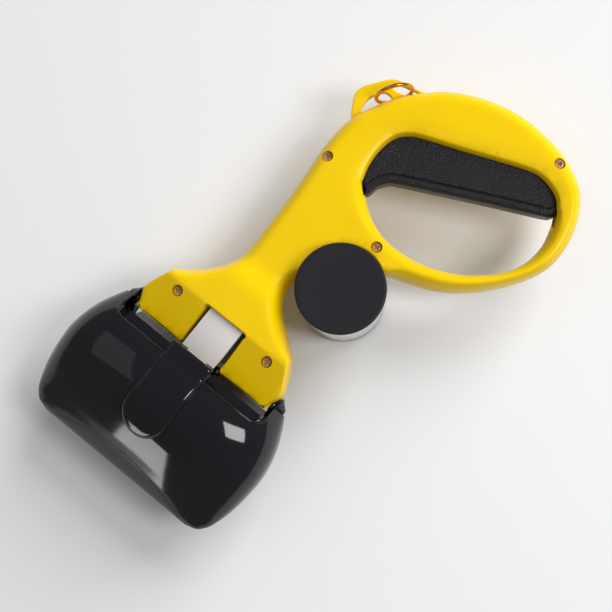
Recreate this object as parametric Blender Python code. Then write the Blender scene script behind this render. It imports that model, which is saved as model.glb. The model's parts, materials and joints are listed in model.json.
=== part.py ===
"""One-hand clamshell pooper scooper, lying flat on its side, for Blender 4.5.

Metres, +Z up. The tool frame has its origin on the axis of the jaws' hinge, +X along the neck
towards the handle, +Y across the tool and +Z away from the floor, and the plane between the two
body shells is its plane Z = 0. The empty named tool carries every piece and stands the whole
tool on the floor.
"""

import math

import bmesh
import bpy
import numpy as np
from mathutils import Matrix, Vector
from mathutils.geometry import delaunay_2d_cdt

# Clearances, walls and tolerances
GAP = 0.0003
PLAY = 0.0004
WALL = 0.0022
OVERRUN = 0.002
WELD = 0.000001

# Fineness of the surfaces
OUTLINE_STEP = 0.0072
FIELD_STEP = 0.022
TOUCH_SHARE = 0.96
ROUND_SIDES = 24
SMALL_SIDES = 12
ROOM_SHARES = tuple(1.0 - 0.05 * i for i in range(15))
SHELL_RING_SHARES = (0.12, 0.45, 1.0)
CAVITY_RING_SHARES = (1.0,)
TRIGGER_RING_SHARES = (0.15, 0.50, 1.0)
TONGUE_RING_SHARES = (0.35, 1.0)
JAW_STATIONS = 16
JAW_SIDES = 32
JAW_INSIDE_STATIONS = 9
JAW_INSIDE_SIDES = 24
STATION_POWER = 1.5
PARTING_STEPS = 12
SPRING_TURN_POINTS = 10
RING_AROUND = 32
RING_ACROSS = 6
SOFT_ANGLE = 30
JAW_SOFT_ANGLE = 40
TRIGGER_SOFT_ANGLE = 35
RING_SOFT_ANGLE = 60

# Body: both shells together, seen from above
BODY_REACH = 0.214
FRONT_REACH = 0.004
RIDGE_REACH = 0.023
RIDGE_HEIGHT = 0.0175
FRONT_HEIGHT = 0.0080
NECK_HEIGHT = 0.0130
NECK_START = 0.058
CREST_END = 0.041
SOFT_EDGE = 0.0085
BAR_EDGE = 0.0065
CRISP_EDGE = 0.0014
GRIP_EDGE = 0.0022
WINDOW_HALF_WIDTH = 0.0127
CAVITY_RIM_SHARE = 0.25

# Jaws
JAW_LENGTH = 0.0872
JAW_FRONT = 0.0802
JAW_HALF_WIDTH = 0.0680
JAW_HEIGHT = 0.0335
JAW_WALL = 0.0022
LIP_HEIGHT = 0.0012
PARTING_BOW = 0.0095
PARTING_HALF_WIDTH = 0.050
PARTING_LENGTH = 0.044
REAR_WALL_REACH = 0.0120
CUTOUT_CLEARANCE = 0.0034
CUTOUT_ROUND = 0.006
CROSS_POWER = 2.6
TONGUE_HALF_WIDTH = 0.0134
TONGUE_FRONT = 0.0565
TONGUE_REAR = 0.0042
TONGUE_RISE = 0.0025
TONGUE_THICKNESS = 0.0042
TONGUE_EDGE = 0.0012

# Hinge of the jaws
EAR_RADIUS = 0.0068
EAR_THICKNESS = 0.0023
EAR_BAR_HEIGHT = 0.0080
HEAD_SIDE = 0.0466
HEAD_CORNER = 0.0025
HINGE_PIN_RADIUS = 0.0020
HINGE_PIN_DEPTH = 0.0090

# Pull yoke, its plates and its drive pins
CRANK_HEIGHT = 0.0129
YOKE_TRAVEL = 0.0120
PLATE_THICKNESS = 0.0030
PLATE_HALF_WIDTH = 0.0110
PLATE_NECK_HALF_WIDTH = 0.0066
DRIVE_PIN_RADIUS = 0.0019
DRIVE_PIN_HALF_LENGTH = 0.0103
LUG_RADIUS = 0.0042
LUG_THICKNESS = 0.0030
YOKE_SHOULDER_CLEARANCE = 0.0012
YOKE_BLOCK_SETBACK = 0.0040
YOKE_BLOCK_LENGTH = 0.0140
YOKE_BLOCK_START = RIDGE_REACH + YOKE_BLOCK_SETBACK
YOKE_BLOCK_END = YOKE_BLOCK_START + YOKE_BLOCK_LENGTH
YOKE_BLOCK_HALF_WIDTH = 0.0080
YOKE_SHOULDER_HALF = 0.0068
STEM_RADIUS = 0.0040
FORK_LENGTH = 0.0115
FORK_SPAN = 0.0185
FORK_ROOT = 0.0070
FORK_SHIFT = 0.0043
FORK_TINE = 0.0034
FORK_OPENING = 0.0032
FORK_SLOT_MARGIN = 0.0020

# Return spring and its rest in the neck
SPRING_WIRE = 0.0006
SPRING_RADIUS = 0.0056
SPRING_TURNS = 11
SPRING_REST = 0.0845
RIB_THICKNESS = 0.0024
RIB_HALF_WIDTH = 0.0105

# Trigger
TRIGGER_PIVOT_SHARES = (0.8902, -0.4603)
TRIGGER_DRIVE_SHARES = (0.5327, -0.0304)
TRIGGER_PIVOT = tuple(BODY_REACH * share for share in TRIGGER_PIVOT_SHARES)
TRIGGER_DRIVE = tuple(BODY_REACH * share for share in TRIGGER_DRIVE_SHARES)
TRIGGER_HALF_THICKNESS = 0.0064
TRIGGER_EDGE = 0.0024
TRIGGER_ARM_HALF_THICKNESS = 0.0027
TRIGGER_ARM_HALF_WIDTH = 0.0042
TRIGGER_EYE_RADIUS = 0.0048
TRIGGER_EYE_START = math.radians(-100)
TRIGGER_EYE_END = 0.0
TRIGGER_PIN_RADIUS = 0.0020
TRIGGER_SLOT_HEIGHT = 0.0072
MOUTH_BEYOND_GRIP = 0.0200
MOUTH_DEPTH = 0.0053
TRIGGER_SPAN = math.dist(TRIGGER_PIVOT, TRIGGER_DRIVE)
STEM_END = TRIGGER_DRIVE[0] - FORK_ROOT

# Case screws: two in the head, by its half width, and three in the handle, by the body's reach
HEAD_SCREW_SHARES = (0.369, 0.670)
HANDLE_SCREW_SHARES = ((0.5897, 0.0645), (0.4822, -0.1813), (0.9374, -0.4131))
SCREW_PLACES = (
    (HEAD_SIDE * HEAD_SCREW_SHARES[0], HEAD_SIDE * HEAD_SCREW_SHARES[1]),
    (HEAD_SIDE * HEAD_SCREW_SHARES[0], -HEAD_SIDE * HEAD_SCREW_SHARES[1]),
    *((BODY_REACH * along, BODY_REACH * across) for along, across in HANDLE_SCREW_SHARES),
)
SCREW_HEAD_RADIUS = 0.0024
SCREW_HEAD_HEIGHT = 0.0018
SCREW_SHANK_RADIUS = 0.00125
SCREW_REACH = 0.0070
SCREW_SINK = 0.0030
SCREW_RECESS_WIDTH = 0.0006
SCREW_RECESS_LENGTH = 0.0013
SCREW_RECESS_DEPTH = 0.0010
COUNTERBORE_RADIUS = 0.0032
BOSS_RADIUS = 0.0042
SHELL_FLOOR = 0.0016

# Bag dispenser between the neck and the loop
CANISTER_ALONG_SHARE = 0.3327
CANISTER_CLEARANCE = 0.0151
CANISTER_RADIUS = 0.0243
CANISTER_PLACE = (BODY_REACH * CANISTER_ALONG_SHARE, -CANISTER_RADIUS - CANISTER_CLEARANCE)
CANISTER_WALL = 0.0012
CANISTER_TOP = 0.0212
CAP_RADIUS = 0.0248
CAP_THICKNESS = 0.0026
CAP_SKIRT_DEPTH = 0.0060
CAP_SKIRT_WALL = 0.0016
BASE_THICKNESS = 0.0026
BASE_SPIGOT = 0.0040
SPINDLE_RADIUS = 0.0060
SPINDLE_HEIGHT = 0.044
BAG_PORT_RADIUS = 0.0170
BAG_PORT_HALF_WIDTH = 0.0030
BAG_PORT_HALF_ANGLE = math.radians(40)
ROLL_RADIUS = 0.0195
ROLL_HEIGHT = 0.0440
CORE_RADIUS = 0.0080
CORE_WALL = 0.0012
NOTCH_START = math.radians(104)
NOTCH_END = math.radians(-27)
TAB_HALF_WIDTH = 0.0052
TAB_HALF_THICKNESS = 0.0016
NECK_TAB_ANGLE = math.radians(88)
NECK_TAB_REACH = 0.0045

# Eyelet and key ring
EYELET_HALF_THICKNESS = 0.0020
RING_RADIUS = 0.0101
RING_WIRE = 0.0007
RING_CENTRE_SHARES = (0.83248, 0.03659, 0.02009)
RING_CENTRE = tuple(BODY_REACH * share for share in RING_CENTRE_SHARES)
RING_YAW = math.radians(-38.3)
RING_TILT = math.radians(81.6)

# The head's side, as shares of its half width: (along X, along Y)
HEAD_SIDE_SHARES = (
    (-0.078, -0.960),
    (0.023, -1.010),
    (0.170, -1.052),
    (0.367, -0.978),
    (0.574, -0.8725),
)

# Outlines, as shares of the body's reach: (along X, along Y)
NECK_RIGHT_SHARES = (
    (0.1640, -0.1410),
    (0.2060, -0.0920),
    (0.2480, -0.0680),
    (0.2760, -0.0640),
)
LOOP_SHARES = (
    (0.4890, -0.3610),
    (0.5440, -0.4380),
    (0.6150, -0.5020),
    (0.6840, -0.5450),
    (0.7460, -0.5610),
    (0.8310, -0.5510),
    (0.8940, -0.5220),
    (0.9300, -0.4920),
    (0.9670, -0.4280),
    (0.9890, -0.3530),
    (1.0000, -0.2670),
    (0.9860, -0.1930),
    (0.9560, -0.1180),
    (0.9170, -0.0560),
    (0.8750, -0.0160),
    (0.8480, 0.0130),
    (0.8080, 0.0400),
    (0.7660, 0.0620),
    (0.7220, 0.0860),
    (0.6370, 0.0960),
    (0.5830, 0.0940),
    (0.4700, 0.0840),
    (0.3620, 0.0810),
    (0.2850, 0.0800),
    (0.2390, 0.0850),
    (0.2010, 0.1070),
    (0.1600, 0.1440),
)
OPENING_BAR_SHARES = (
    (0.5960, -0.0460),
    (0.5760, -0.0690),
    (0.5450, -0.1100),
    (0.5210, -0.1650),
    (0.5150, -0.2200),
    (0.5220, -0.2860),
    (0.5450, -0.3520),
    (0.5790, -0.4110),
    (0.6270, -0.4640),
    (0.6830, -0.4980),
    (0.7410, -0.5080),
    (0.7900, -0.5000),
    (0.8360, -0.4830),
)
OPENING_GRIP_SHARES = (
    (0.8360, -0.4830),
    (0.8660, -0.4540),
    (0.8810, -0.4070),
    (0.8770, -0.3630),
    (0.8450, -0.2760),
    (0.8110, -0.1880),
    (0.7800, -0.1040),
    (0.7640, -0.0700),
    (0.7350, -0.0430),
    (0.6880, -0.0320),
    (0.6400, -0.0340),
    (0.5960, -0.0460),
)
EYELET_OUTER_SHARES = (
    (0.7120, 0.0820),
    (0.7230, 0.0940),
    (0.7520, 0.1110),
    (0.7780, 0.1210),
    (0.8010, 0.1160),
    (0.8280, 0.0970),
    (0.8560, 0.0750),
    (0.8680, 0.0590),
    (0.8760, 0.0350),
    (0.8830, -0.0090),
    (0.8930, -0.0420),
)
EYELET_ROOT_SHARES = (
    (0.8690, -0.0220),
    (0.8420, 0.0070),
    (0.8040, 0.0330),
    (0.7620, 0.0560),
)
EYELET_HOLE_SHARES = (
    (0.7440, 0.0760),
    (0.7590, 0.0840),
    (0.7750, 0.0850),
    (0.7900, 0.0820),
    (0.8060, 0.0750),
    (0.8200, 0.0650),
    (0.8250, 0.0520),
    (0.8220, 0.0350),
    (0.8080, 0.0430),
    (0.7870, 0.0540),
    (0.7660, 0.0650),
)
EYELET_SLOT_SHARES = (
    (0.8430, 0.0490),
    (0.8560, 0.0560),
    (0.8650, 0.0380),
    (0.8710, 0.0140),
    (0.8750, -0.0100),
    (0.8620, 0.0000),
    (0.8520, 0.0100),
    (0.8450, 0.0300),
)

# Jaws, as shares: (along the jaw's length from its lip, of the half width or of the height)
JAW_WIDTH_SHARES = (
    (0.000, 0.740),
    (0.022, 0.830),
    (0.055, 0.878),
    (0.105, 0.918),
    (0.200, 0.957),
    (0.300, 0.983),
    (0.420, 0.998),
    (0.530, 1.000),
    (0.650, 0.975),
    (0.760, 0.930),
    (0.870, 0.862),
    (0.940, 0.812),
    (1.000, 0.778),
)
JAW_HEIGHT_SHARES = (
    (0.000, 0.000),
    (0.012, 0.085),
    (0.040, 0.210),
    (0.080, 0.350),
    (0.140, 0.520),
    (0.220, 0.695),
    (0.320, 0.850),
    (0.430, 0.955),
    (0.530, 1.000),
    (0.640, 0.990),
    (0.740, 0.920),
    (0.820, 0.790),
    (0.900, 0.580),
    (0.960, 0.360),
    (1.000, 0.203),
)

# The trigger's outline, as shares of its span from pivot to drive pin, measured from the pivot
TRIGGER_FINGER_SHARES = (
    (-0.560, 0.709),
    (-0.556, 0.694),
    (-0.535, 0.684),
    (-0.505, 0.680),
    (-0.480, 0.668),
    (-0.452, 0.645),
    (-0.430, 0.605),
    (-0.337, 0.410),
    (-0.240, 0.205),
    (-0.150, 0.010),
    (-0.120, -0.036),
    (-0.075, -0.052),
)
TRIGGER_BACK_SHARES = (
    (0.046, 0.010),
    (0.020, 0.110),
    (-0.022, 0.290),
    (-0.090, 0.490),
    (-0.150, 0.660),
    (-0.200, 0.745),
    (-0.290, 0.800),
    (-0.390, 0.812),
    (-0.480, 0.795),
    (-0.540, 0.755),
)

# Colours of the finishes, linear
YELLOW = (0.905, 0.600, 0.004, 1.0)
JAW_BLACK = (0.008, 0.008, 0.010, 1.0)
TRIGGER_BLACK = (0.016, 0.016, 0.019, 1.0)
CAP_BLACK = (0.024, 0.024, 0.028, 1.0)
PULL_WHITE = (0.62, 0.60, 0.58, 1.0)
CHROME = (0.80, 0.80, 0.82, 1.0)
STEEL = (0.55, 0.55, 0.56, 1.0)
COPPER = (0.62, 0.30, 0.13, 1.0)
GOLD = (0.83, 0.46, 0.08, 1.0)
BAG_GREEN = (0.10, 0.28, 0.14, 1.0)
CARD = (0.42, 0.30, 0.18, 1.0)


# Small tools


def clear_scene():
    for obj in list(bpy.data.objects):
        bpy.data.objects.remove(obj, do_unlink=True)


def finish(name, colour, roughness, metallic=0.0):
    material = bpy.data.materials.new(name)
    material.use_nodes = True
    shader = material.node_tree.nodes["Principled BSDF"]
    shader.inputs["Base Color"].default_value = colour
    shader.inputs["Roughness"].default_value = roughness
    shader.inputs["Metallic"].default_value = metallic
    material.diffuse_color = colour
    return material


def scaled(shares, size, origin=(0.0, 0.0)):
    return [(origin[0] + size * x, origin[1] + size * y) for x, y in shares]


def smooth_path(points, step):
    """Points about one step apart on a Catmull-Rom curve through the given ones, ends kept."""
    knots = [Vector(p) for p in points]
    knots = [2 * knots[0] - knots[1], *knots, 2 * knots[-1] - knots[-2]]
    path = []
    for a, b, c, d in zip(knots, knots[1:], knots[2:], knots[3:]):
        count = max(1, round((c - b).length / step))
        for i in range(count):
            t = i / count
            path.append(
                0.5 * (2 * b + (c - a) * t + (2 * a - 5 * b + 4 * c - d) * t * t
                       + (3 * b - a - 3 * c + d) * t ** 3)
            )
    path.append(knots[-2])
    return [(p.x, p.y) for p in path]


def straight_path(start, end, step):
    count = max(1, round(math.dist(start, end) / step))
    return [
        (start[0] + (end[0] - start[0]) * i / count, start[1] + (end[1] - start[1]) * i / count)
        for i in range(count + 1)
    ]


def arc_path(centre, radius, start, end, step):
    count = max(2, round(abs(end - start) * radius / step))
    angles = [start + (end - start) * i / count for i in range(count + 1)]
    return [(centre[0] + radius * math.cos(a), centre[1] + radius * math.sin(a)) for a in angles]


def closed_loop(*paths):
    """The paths end to end, with a point that two of them share kept once."""
    loop = []
    for path in paths:
        for point in path:
            if not loop or math.dist(point, loop[-1]) > 2 * GAP:
                loop.append(point)
    if math.dist(loop[0], loop[-1]) < 2 * GAP:
        loop.pop()
    return loop


def smoothstep(value, low, high):
    t = np.clip((value - low) / (high - low), 0.0, 1.0)
    return t * t * (3 - 2 * t)


def share_at(table, share):
    xs, ys = zip(*table)
    return float(np.interp(share, xs, ys))


def quarter_round(t):
    """Height of a quarter circle, from 0 at its foot to 1 from t = 1 on."""
    return np.sqrt(np.clip(1 - (1 - np.clip(t, 0.0, 1.0)) ** 2, 0.0, 1.0))


class Region:
    """A flat region between an outer loop and its holes, where each loop point has an edge radius."""

    def __init__(self, loops, radii):
        self.loops = [np.array(loop) for loop in loops]
        self.radii = [np.array(r) for r in radii]
        self.starts = np.concatenate(self.loops)
        self.ends = np.concatenate([np.roll(loop, -1, axis=0) for loop in self.loops])
        self.edge = np.concatenate(self.radii)
        self.edge_end = np.concatenate([np.roll(r, -1) for r in self.radii])

    def _to_edges(self, points):
        run = self.ends - self.starts
        offset = points[:, None, :] - self.starts[None]
        t = (offset * run[None]).sum(axis=2) / (run * run).sum(axis=1)[None]
        t = np.clip(t, 0.0, 1.0)
        nearest = offset - t[..., None] * run[None]
        radius = self.edge[None] + t * (self.edge_end - self.edge)[None]
        return np.sqrt((nearest ** 2).sum(axis=2)), radius

    def distance(self, points):
        return self._to_edges(np.asarray(points))[0].min(axis=1)

    def edge_share(self, points):
        """How far in each point lies, as a share of the edge radius near it."""
        gap, radius = self._to_edges(np.asarray(points))
        share = (gap / radius).min(axis=1)
        share[gap.min(axis=1) < WELD] = 0.0
        return share

    def inside(self, points):
        points = np.asarray(points)
        x, y = points[:, 0, None], points[:, 1, None]
        x0, y0 = self.starts[:, 0], self.starts[:, 1]
        x1, y1 = self.ends[:, 0], self.ends[:, 1]
        spans = (y0 > y) != (y1 > y)
        with np.errstate(divide="ignore", invalid="ignore"):
            crossing = x0 + (y - y0) * (x1 - x0) / (y1 - y0)
        return (spans & (x < crossing)).sum(axis=1) % 2 == 1

    def ring(self, loop, radius, inset_share=None, inset=None):
        """The loop moved inwards, by a length or by a share of each point's own radius."""
        depth = radius * inset_share if inset is None else np.full(len(loop), inset)
        moved = loop + self.inwards(loop) * depth[:, None]
        reach = self.distance(moved)
        keep = (reach > TOUCH_SHARE * depth) & self.inside(moved)
        return moved[keep], radius[keep]

    def inwards(self, loop):
        """The unit normals at a loop's points, towards the inside of the region."""
        along = np.roll(loop, -1, axis=0) - np.roll(loop, 1, axis=0)
        normal = np.column_stack([-along[:, 1], along[:, 0]])
        normal /= np.linalg.norm(normal, axis=1)[:, None]
        is_inside = self.inside(loop + normal * GAP).mean() > 0.5
        return normal if is_inside else -normal

    def with_room(self):
        """The same region, with each edge radius at most half of the width that it has there."""
        radii = []
        for loop, radius in zip(self.loops, self.radii):
            normal = self.inwards(loop)
            fitting = radius.copy()
            for share in ROOM_SHARES:
                reach = self.distance(loop + normal * fitting[:, None])
                tight = reach < TOUCH_SHARE * fitting
                fitting[tight] = radius[tight] * share
            radii.append(eased(fitting))
        return Region(self.loops, radii)

    def inset(self, depth):
        """The region inside a wall of this depth, with the edge radii that the wall leaves."""
        loops, radii = [], []
        for loop, radius in zip(self.loops, self.radii):
            moved, kept = self.ring(loop, radius, inset=depth)
            loops.append(moved)
            radii.append(np.maximum(kept - depth, CRISP_EDGE))
        return Region(loops, radii)

    def points(self, shares, field_step, extra=()):
        """Points that carry the surface: rings along the edges and a coarse field inside."""
        found = []
        for share in shares:
            for loop, radius in zip(self.loops, self.radii):
                moved, _ = self.ring(loop, radius, inset_share=share)
                found.extend(thinned(moved, OUTLINE_STEP / 2))
        low = self.starts.min(axis=0)
        high = self.starts.max(axis=0)
        grid = np.array(
            [
                (x, y)
                for x in np.arange(low[0], high[0], field_step)
                for y in np.arange(low[1], high[1], field_step)
            ]
        )
        grid = grid[self.inside(grid)]
        grid = grid[self.edge_share(grid) > 1.0]
        grid = grid[self.distance(grid) > field_step / 3]
        found.extend(grid)
        extra = np.array(extra).reshape(-1, 2)
        if len(extra):
            extra = extra[self.inside(extra)]
            extra = extra[self.distance(extra) > OUTLINE_STEP / 4]
            found.extend(extra)
        return np.array(found).reshape(-1, 2)


def thinned(points, least):
    kept = []
    for point in points:
        if not kept or np.linalg.norm(point - kept[-1]) > least:
            kept.append(point)
    return kept


def triangles(region, inner_points):
    verts = [Vector(p) for p in region.starts]
    edges = []
    first = 0
    for loop in region.loops:
        count = len(loop)
        edges += [(first + i, first + (i + 1) % count) for i in range(count)]
        first += count
    verts += [Vector(p) for p in inner_points]
    flat, _, faces, _, _, _ = delaunay_2d_cdt(verts, edges, [], 0, WELD)
    flat = np.array([(v.x, v.y) for v in flat])
    faces = np.array([list(f) for f in faces])
    faces = faces[region.inside(flat[faces].mean(axis=1))]
    return flat, faces


def solid_between(region, shares, field_step, top, bottom, extra=()):
    """A closed bmesh over the region, between two height functions of (points, edge share)."""
    flat, faces = triangles(region, region.points(shares, field_step, extra))
    depth = region.edge_share(flat)
    heights = top(flat, depth)
    depths = bottom(flat, depth)
    on_edge = depth <= 0.0
    bm = bmesh.new()
    upper = [bm.verts.new((x, y, z)) for (x, y), z in zip(flat, heights)]
    lower = []
    for i, ((x, y), z) in enumerate(zip(flat, depths)):
        shared = on_edge[i] and abs(heights[i] - z) < WELD
        lower.append(upper[i] if shared else bm.verts.new((x, y, z)))
    rim = {}
    for a, b, c in faces:
        bm.faces.new((upper[a], upper[b], upper[c]))
        if not (upper[a] is lower[a] and upper[b] is lower[b] and upper[c] is lower[c]):
            bm.faces.new((lower[c], lower[b], lower[a]))
        for edge in ((a, b), (b, c), (c, a)):
            if edge[::-1] in rim:
                del rim[edge[::-1]]
            else:
                rim[edge] = True
    for a, b in rim:
        corners = [upper[b], upper[a], lower[a], lower[b]]
        corners = list(dict.fromkeys(corners))
        if len(corners) > 2:
            bm.faces.new(corners)
    loose = [v for v in bm.verts if not v.link_faces]
    bmesh.ops.delete(bm, geom=loose, context="VERTS")
    turn_outwards(bm, bm.faces[:])
    return bm


def level(height):
    return lambda flat, depth: np.full(len(flat), height)


def turn_outwards(bm, faces):
    """Makes the faces of one closed body point outwards."""
    bmesh.ops.recalc_face_normals(bm, faces=faces)
    volume = 0.0
    for face in faces:
        corners = [v.co for v in face.verts]
        for b, c in zip(corners[1:], corners[2:]):
            volume += corners[0].dot(b.cross(c))
    if volume < 0:
        bmesh.ops.reverse_faces(bm, faces=faces)


def add_box(bm, low, high):
    made = bmesh.ops.create_cube(bm, size=1.0)["verts"]
    low, high = Vector(low), Vector(high)
    for vert in made:
        vert.co = Vector(
            low[i] + (high[i] - low[i]) * (vert.co[i] + 0.5) for i in range(3)
        )
    return made


def add_cylinder(bm, start, end, radius, sides=SMALL_SIDES, end_radius=None):
    start, end = Vector(start), Vector(end)
    run = end - start
    turn = run.to_track_quat("Z", "Y").to_matrix().to_4x4()
    place = Matrix.Translation((start + end) / 2) @ turn
    made = bmesh.ops.create_cone(
        bm,
        cap_ends=True,
        segments=sides,
        radius1=radius,
        radius2=radius if end_radius is None else end_radius,
        depth=run.length,
        matrix=place,
    )
    return made["verts"]


def add_prism(bm, outline, low, high):
    count = len(outline)
    under = [bm.verts.new((x, y, low)) for x, y in outline]
    over = [bm.verts.new((x, y, high)) for x, y in outline]
    faces = [bm.faces.new(over), bm.faces.new(under[::-1])]
    for i in range(count):
        j = (i + 1) % count
        faces.append(bm.faces.new((under[i], under[j], over[j], over[i])))
    turn_outwards(bm, faces)
    return faces


def add_turned(bm, profile, centre, sides=ROUND_SIDES):
    """A closed ring or a closed body turned round a vertical axis, from (radius, height) points."""
    rings = []
    for radius, height in profile:
        if radius < WELD:
            rings.append([bm.verts.new((centre[0], centre[1], height))])
            continue
        angles = [2 * math.pi * i / sides for i in range(sides)]
        rings.append(
            [
                bm.verts.new(
                    (centre[0] + radius * math.cos(a), centre[1] + radius * math.sin(a), height)
                )
                for a in angles
            ]
        )
    closed = profile[0][0] > WELD
    pairs = list(zip(rings, rings[1:])) + ([(rings[-1], rings[0])] if closed else [])
    faces = []
    for below, above in pairs:
        for i in range(sides):
            j = (i + 1) % sides
            corners = [
                below[i % len(below)],
                below[j % len(below)],
                above[j % len(above)],
                above[i % len(above)],
            ]
            corners = list(dict.fromkeys(corners))
            if len(corners) > 2:
                faces.append(bm.faces.new(corners))
    turn_outwards(bm, faces)
    return rings


def flipped(bm):
    """The same shape on the other side of the plane between the shells."""
    bmesh.ops.scale(bm, vec=(1.0, 1.0, -1.0), verts=bm.verts)
    bmesh.ops.reverse_faces(bm, faces=bm.faces)
    return bm


def make_object(name, bm, material=None, origin=(0.0, 0.0, 0.0), smooth=SOFT_ANGLE):
    bmesh.ops.translate(bm, vec=-Vector(origin), verts=bm.verts)
    mesh = bpy.data.meshes.new(name)
    bm.to_mesh(mesh)
    bm.free()
    mesh.shade_smooth()
    mesh.set_sharp_from_angle(angle=math.radians(smooth))
    obj = bpy.data.objects.new(name, mesh)
    bpy.context.collection.objects.link(obj)
    obj.location = origin
    if material:
        mesh.materials.append(material)
    return obj


def make_helper(name, bm, origin=(0.0, 0.0, 0.0)):
    helper = make_object(name, bm, origin=origin)
    helper.hide_render = True
    helper.display_type = "WIRE"
    return helper


def combine(obj, helper, operation, solver="EXACT"):
    """Cuts the helper from the object or joins it on, with both in one frame."""
    helper.parent = obj
    helper.matrix_parent_inverse = Matrix.Translation(-obj.location)
    modifier = obj.modifiers.new(helper.name, "BOOLEAN")
    modifier.operation = operation
    modifier.object = helper
    modifier.solver = solver
    return modifier


# Body shells


def body_outline(step):
    """The outer loop of the body in plan, with the edge radius of each point."""
    arc = arc_path(CANISTER_PLACE, CANISTER_RADIUS + PLAY, NOTCH_START, NOTCH_END, step)
    side = scaled(HEAD_SIDE_SHARES, HEAD_SIDE)
    mirrored_side = [(x, -y) for x, y in reversed(side)]
    front = -FRONT_REACH
    corner = HEAD_SIDE - HEAD_CORNER
    ridge_back = RIDGE_REACH - CRISP_EDGE / 2
    window = [
        (front, WINDOW_HALF_WIDTH),
        (ridge_back, WINDOW_HALF_WIDTH),
        (ridge_back, -WINDOW_HALF_WIDTH),
        (front, -WINDOW_HALF_WIDTH),
    ]
    neck = smooth_path([side[-1], *scaled(NECK_RIGHT_SHARES, BODY_REACH), arc[0]], step)
    loop = smooth_path([arc[-1], *scaled(LOOP_SHARES, BODY_REACH), mirrored_side[0]], step)
    pieces = (
        (straight_path(window[3], (front, -corner), step), CRISP_EDGE),
        (smooth_path(side, step), GRIP_EDGE),
        (neck, SOFT_EDGE),
        (arc, GRIP_EDGE),
        (loop, SOFT_EDGE),
        (smooth_path(mirrored_side, step), GRIP_EDGE),
        (straight_path((front, corner), window[0], step), CRISP_EDGE),
        (straight_path(window[0], window[1], step), CRISP_EDGE),
        (straight_path(window[1], window[2], step), CRISP_EDGE),
        (straight_path(window[2], window[3], step), CRISP_EDGE),
    )
    return tagged_loop(pieces)


def tagged_loop(pieces):
    points, radii = [], []
    for path, radius in pieces:
        for point in path:
            if points and math.dist(point, points[-1]) < 2 * GAP:
                continue
            points.append(point)
            radii.append(radius)
    if math.dist(points[0], points[-1]) < 2 * GAP:
        points.pop()
        radii.pop()
    return points, eased(radii)


def eased(radii, passes=3):
    """Edge radii that change over a few points instead of at one."""
    values = np.array(radii, float)
    for _ in range(passes):
        values = np.minimum(values, (np.roll(values, 1) + values + np.roll(values, -1)) / 3)
    return values


def opening_outline(step):
    bar = smooth_path(scaled(OPENING_BAR_SHARES, BODY_REACH), step)
    grip = smooth_path(scaled(OPENING_GRIP_SHARES, BODY_REACH), step)
    return tagged_loop(((bar, BAR_EDGE), (grip, GRIP_EDGE)))


def body_region(step):
    outer, outer_radii = body_outline(step)
    opening, opening_radii = opening_outline(step)
    return Region([outer, opening], [outer_radii, opening_radii]).with_room()


def crest_height(flat):
    """Height of the body's back over the plane between the shells, before its edges are rounded."""
    x = flat[:, 0]
    back = RIDGE_HEIGHT + (NECK_HEIGHT - RIDGE_HEIGHT) * smoothstep(x, CREST_END, NECK_START)
    slope = (RIDGE_HEIGHT - FRONT_HEIGHT) / (RIDGE_REACH + FRONT_REACH)
    front = RIDGE_HEIGHT - slope * (RIDGE_REACH - x)
    return np.minimum(back, front)


def shell_height(region, place):
    flat = np.array([place])
    return float((crest_height(flat) * quarter_round(region.edge_share(flat)))[0])


def ridge_points():
    count = round(2 * HEAD_SIDE / OUTLINE_STEP)
    return [(RIDGE_REACH, HEAD_SIDE * (2 * i / count - 1)) for i in range(count + 1)]


def shell_blank(region):
    def top(flat, depth):
        return GAP / 2 + (crest_height(flat) - GAP / 2) * quarter_round(depth)

    return solid_between(
        region, SHELL_RING_SHARES, FIELD_STEP, top, level(GAP / 2), ridge_points()
    )


def shell_cavity(region):
    inner = region.inset(WALL)

    def top(flat, depth):
        rise = crest_height(flat) - WALL
        return rise * (CAVITY_RIM_SHARE + (1 - CAVITY_RIM_SHARE) * quarter_round(depth))

    kept = ridge_points() + [TRIGGER_PIVOT]
    return solid_between(inner, CAVITY_RING_SHARES, FIELD_STEP, top, level(-OVERRUN), kept)


def trigger_mouth():
    """Plan of the slot in the opening's wall that lets the trigger in."""
    bar = smooth_path(scaled(OPENING_BAR_SHARES, BODY_REACH), OUTLINE_STEP)
    grip = smooth_path(scaled(OPENING_GRIP_SHARES, BODY_REACH), OUTLINE_STEP)
    beyond = round(MOUTH_BEYOND_GRIP / OUTLINE_STEP)
    grip = np.array(closed_loop(bar[-1 - beyond : -1], grip, bar[1 : 1 + beyond]))
    along = np.gradient(grip, axis=0)
    outwards = np.column_stack([along[:, 1], -along[:, 0]])
    outwards /= np.linalg.norm(outwards, axis=1)[:, None]
    middle = np.array(scaled(OPENING_BAR_SHARES, BODY_REACH)).mean(axis=0)
    if ((grip[len(grip) // 2] - middle) @ outwards[len(grip) // 2]) < 0:
        outwards = -outwards
    over = grip + outwards * MOUTH_DEPTH
    under = grip[2:-2] - outwards[2:-2] * OVERRUN
    return [tuple(p) for p in over] + [tuple(p) for p in under[::-1]]


def hinge_side(sign, inner, outer):
    return (0.0, sign * inner, 0.0), (0.0, sign * outer, 0.0)


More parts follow.
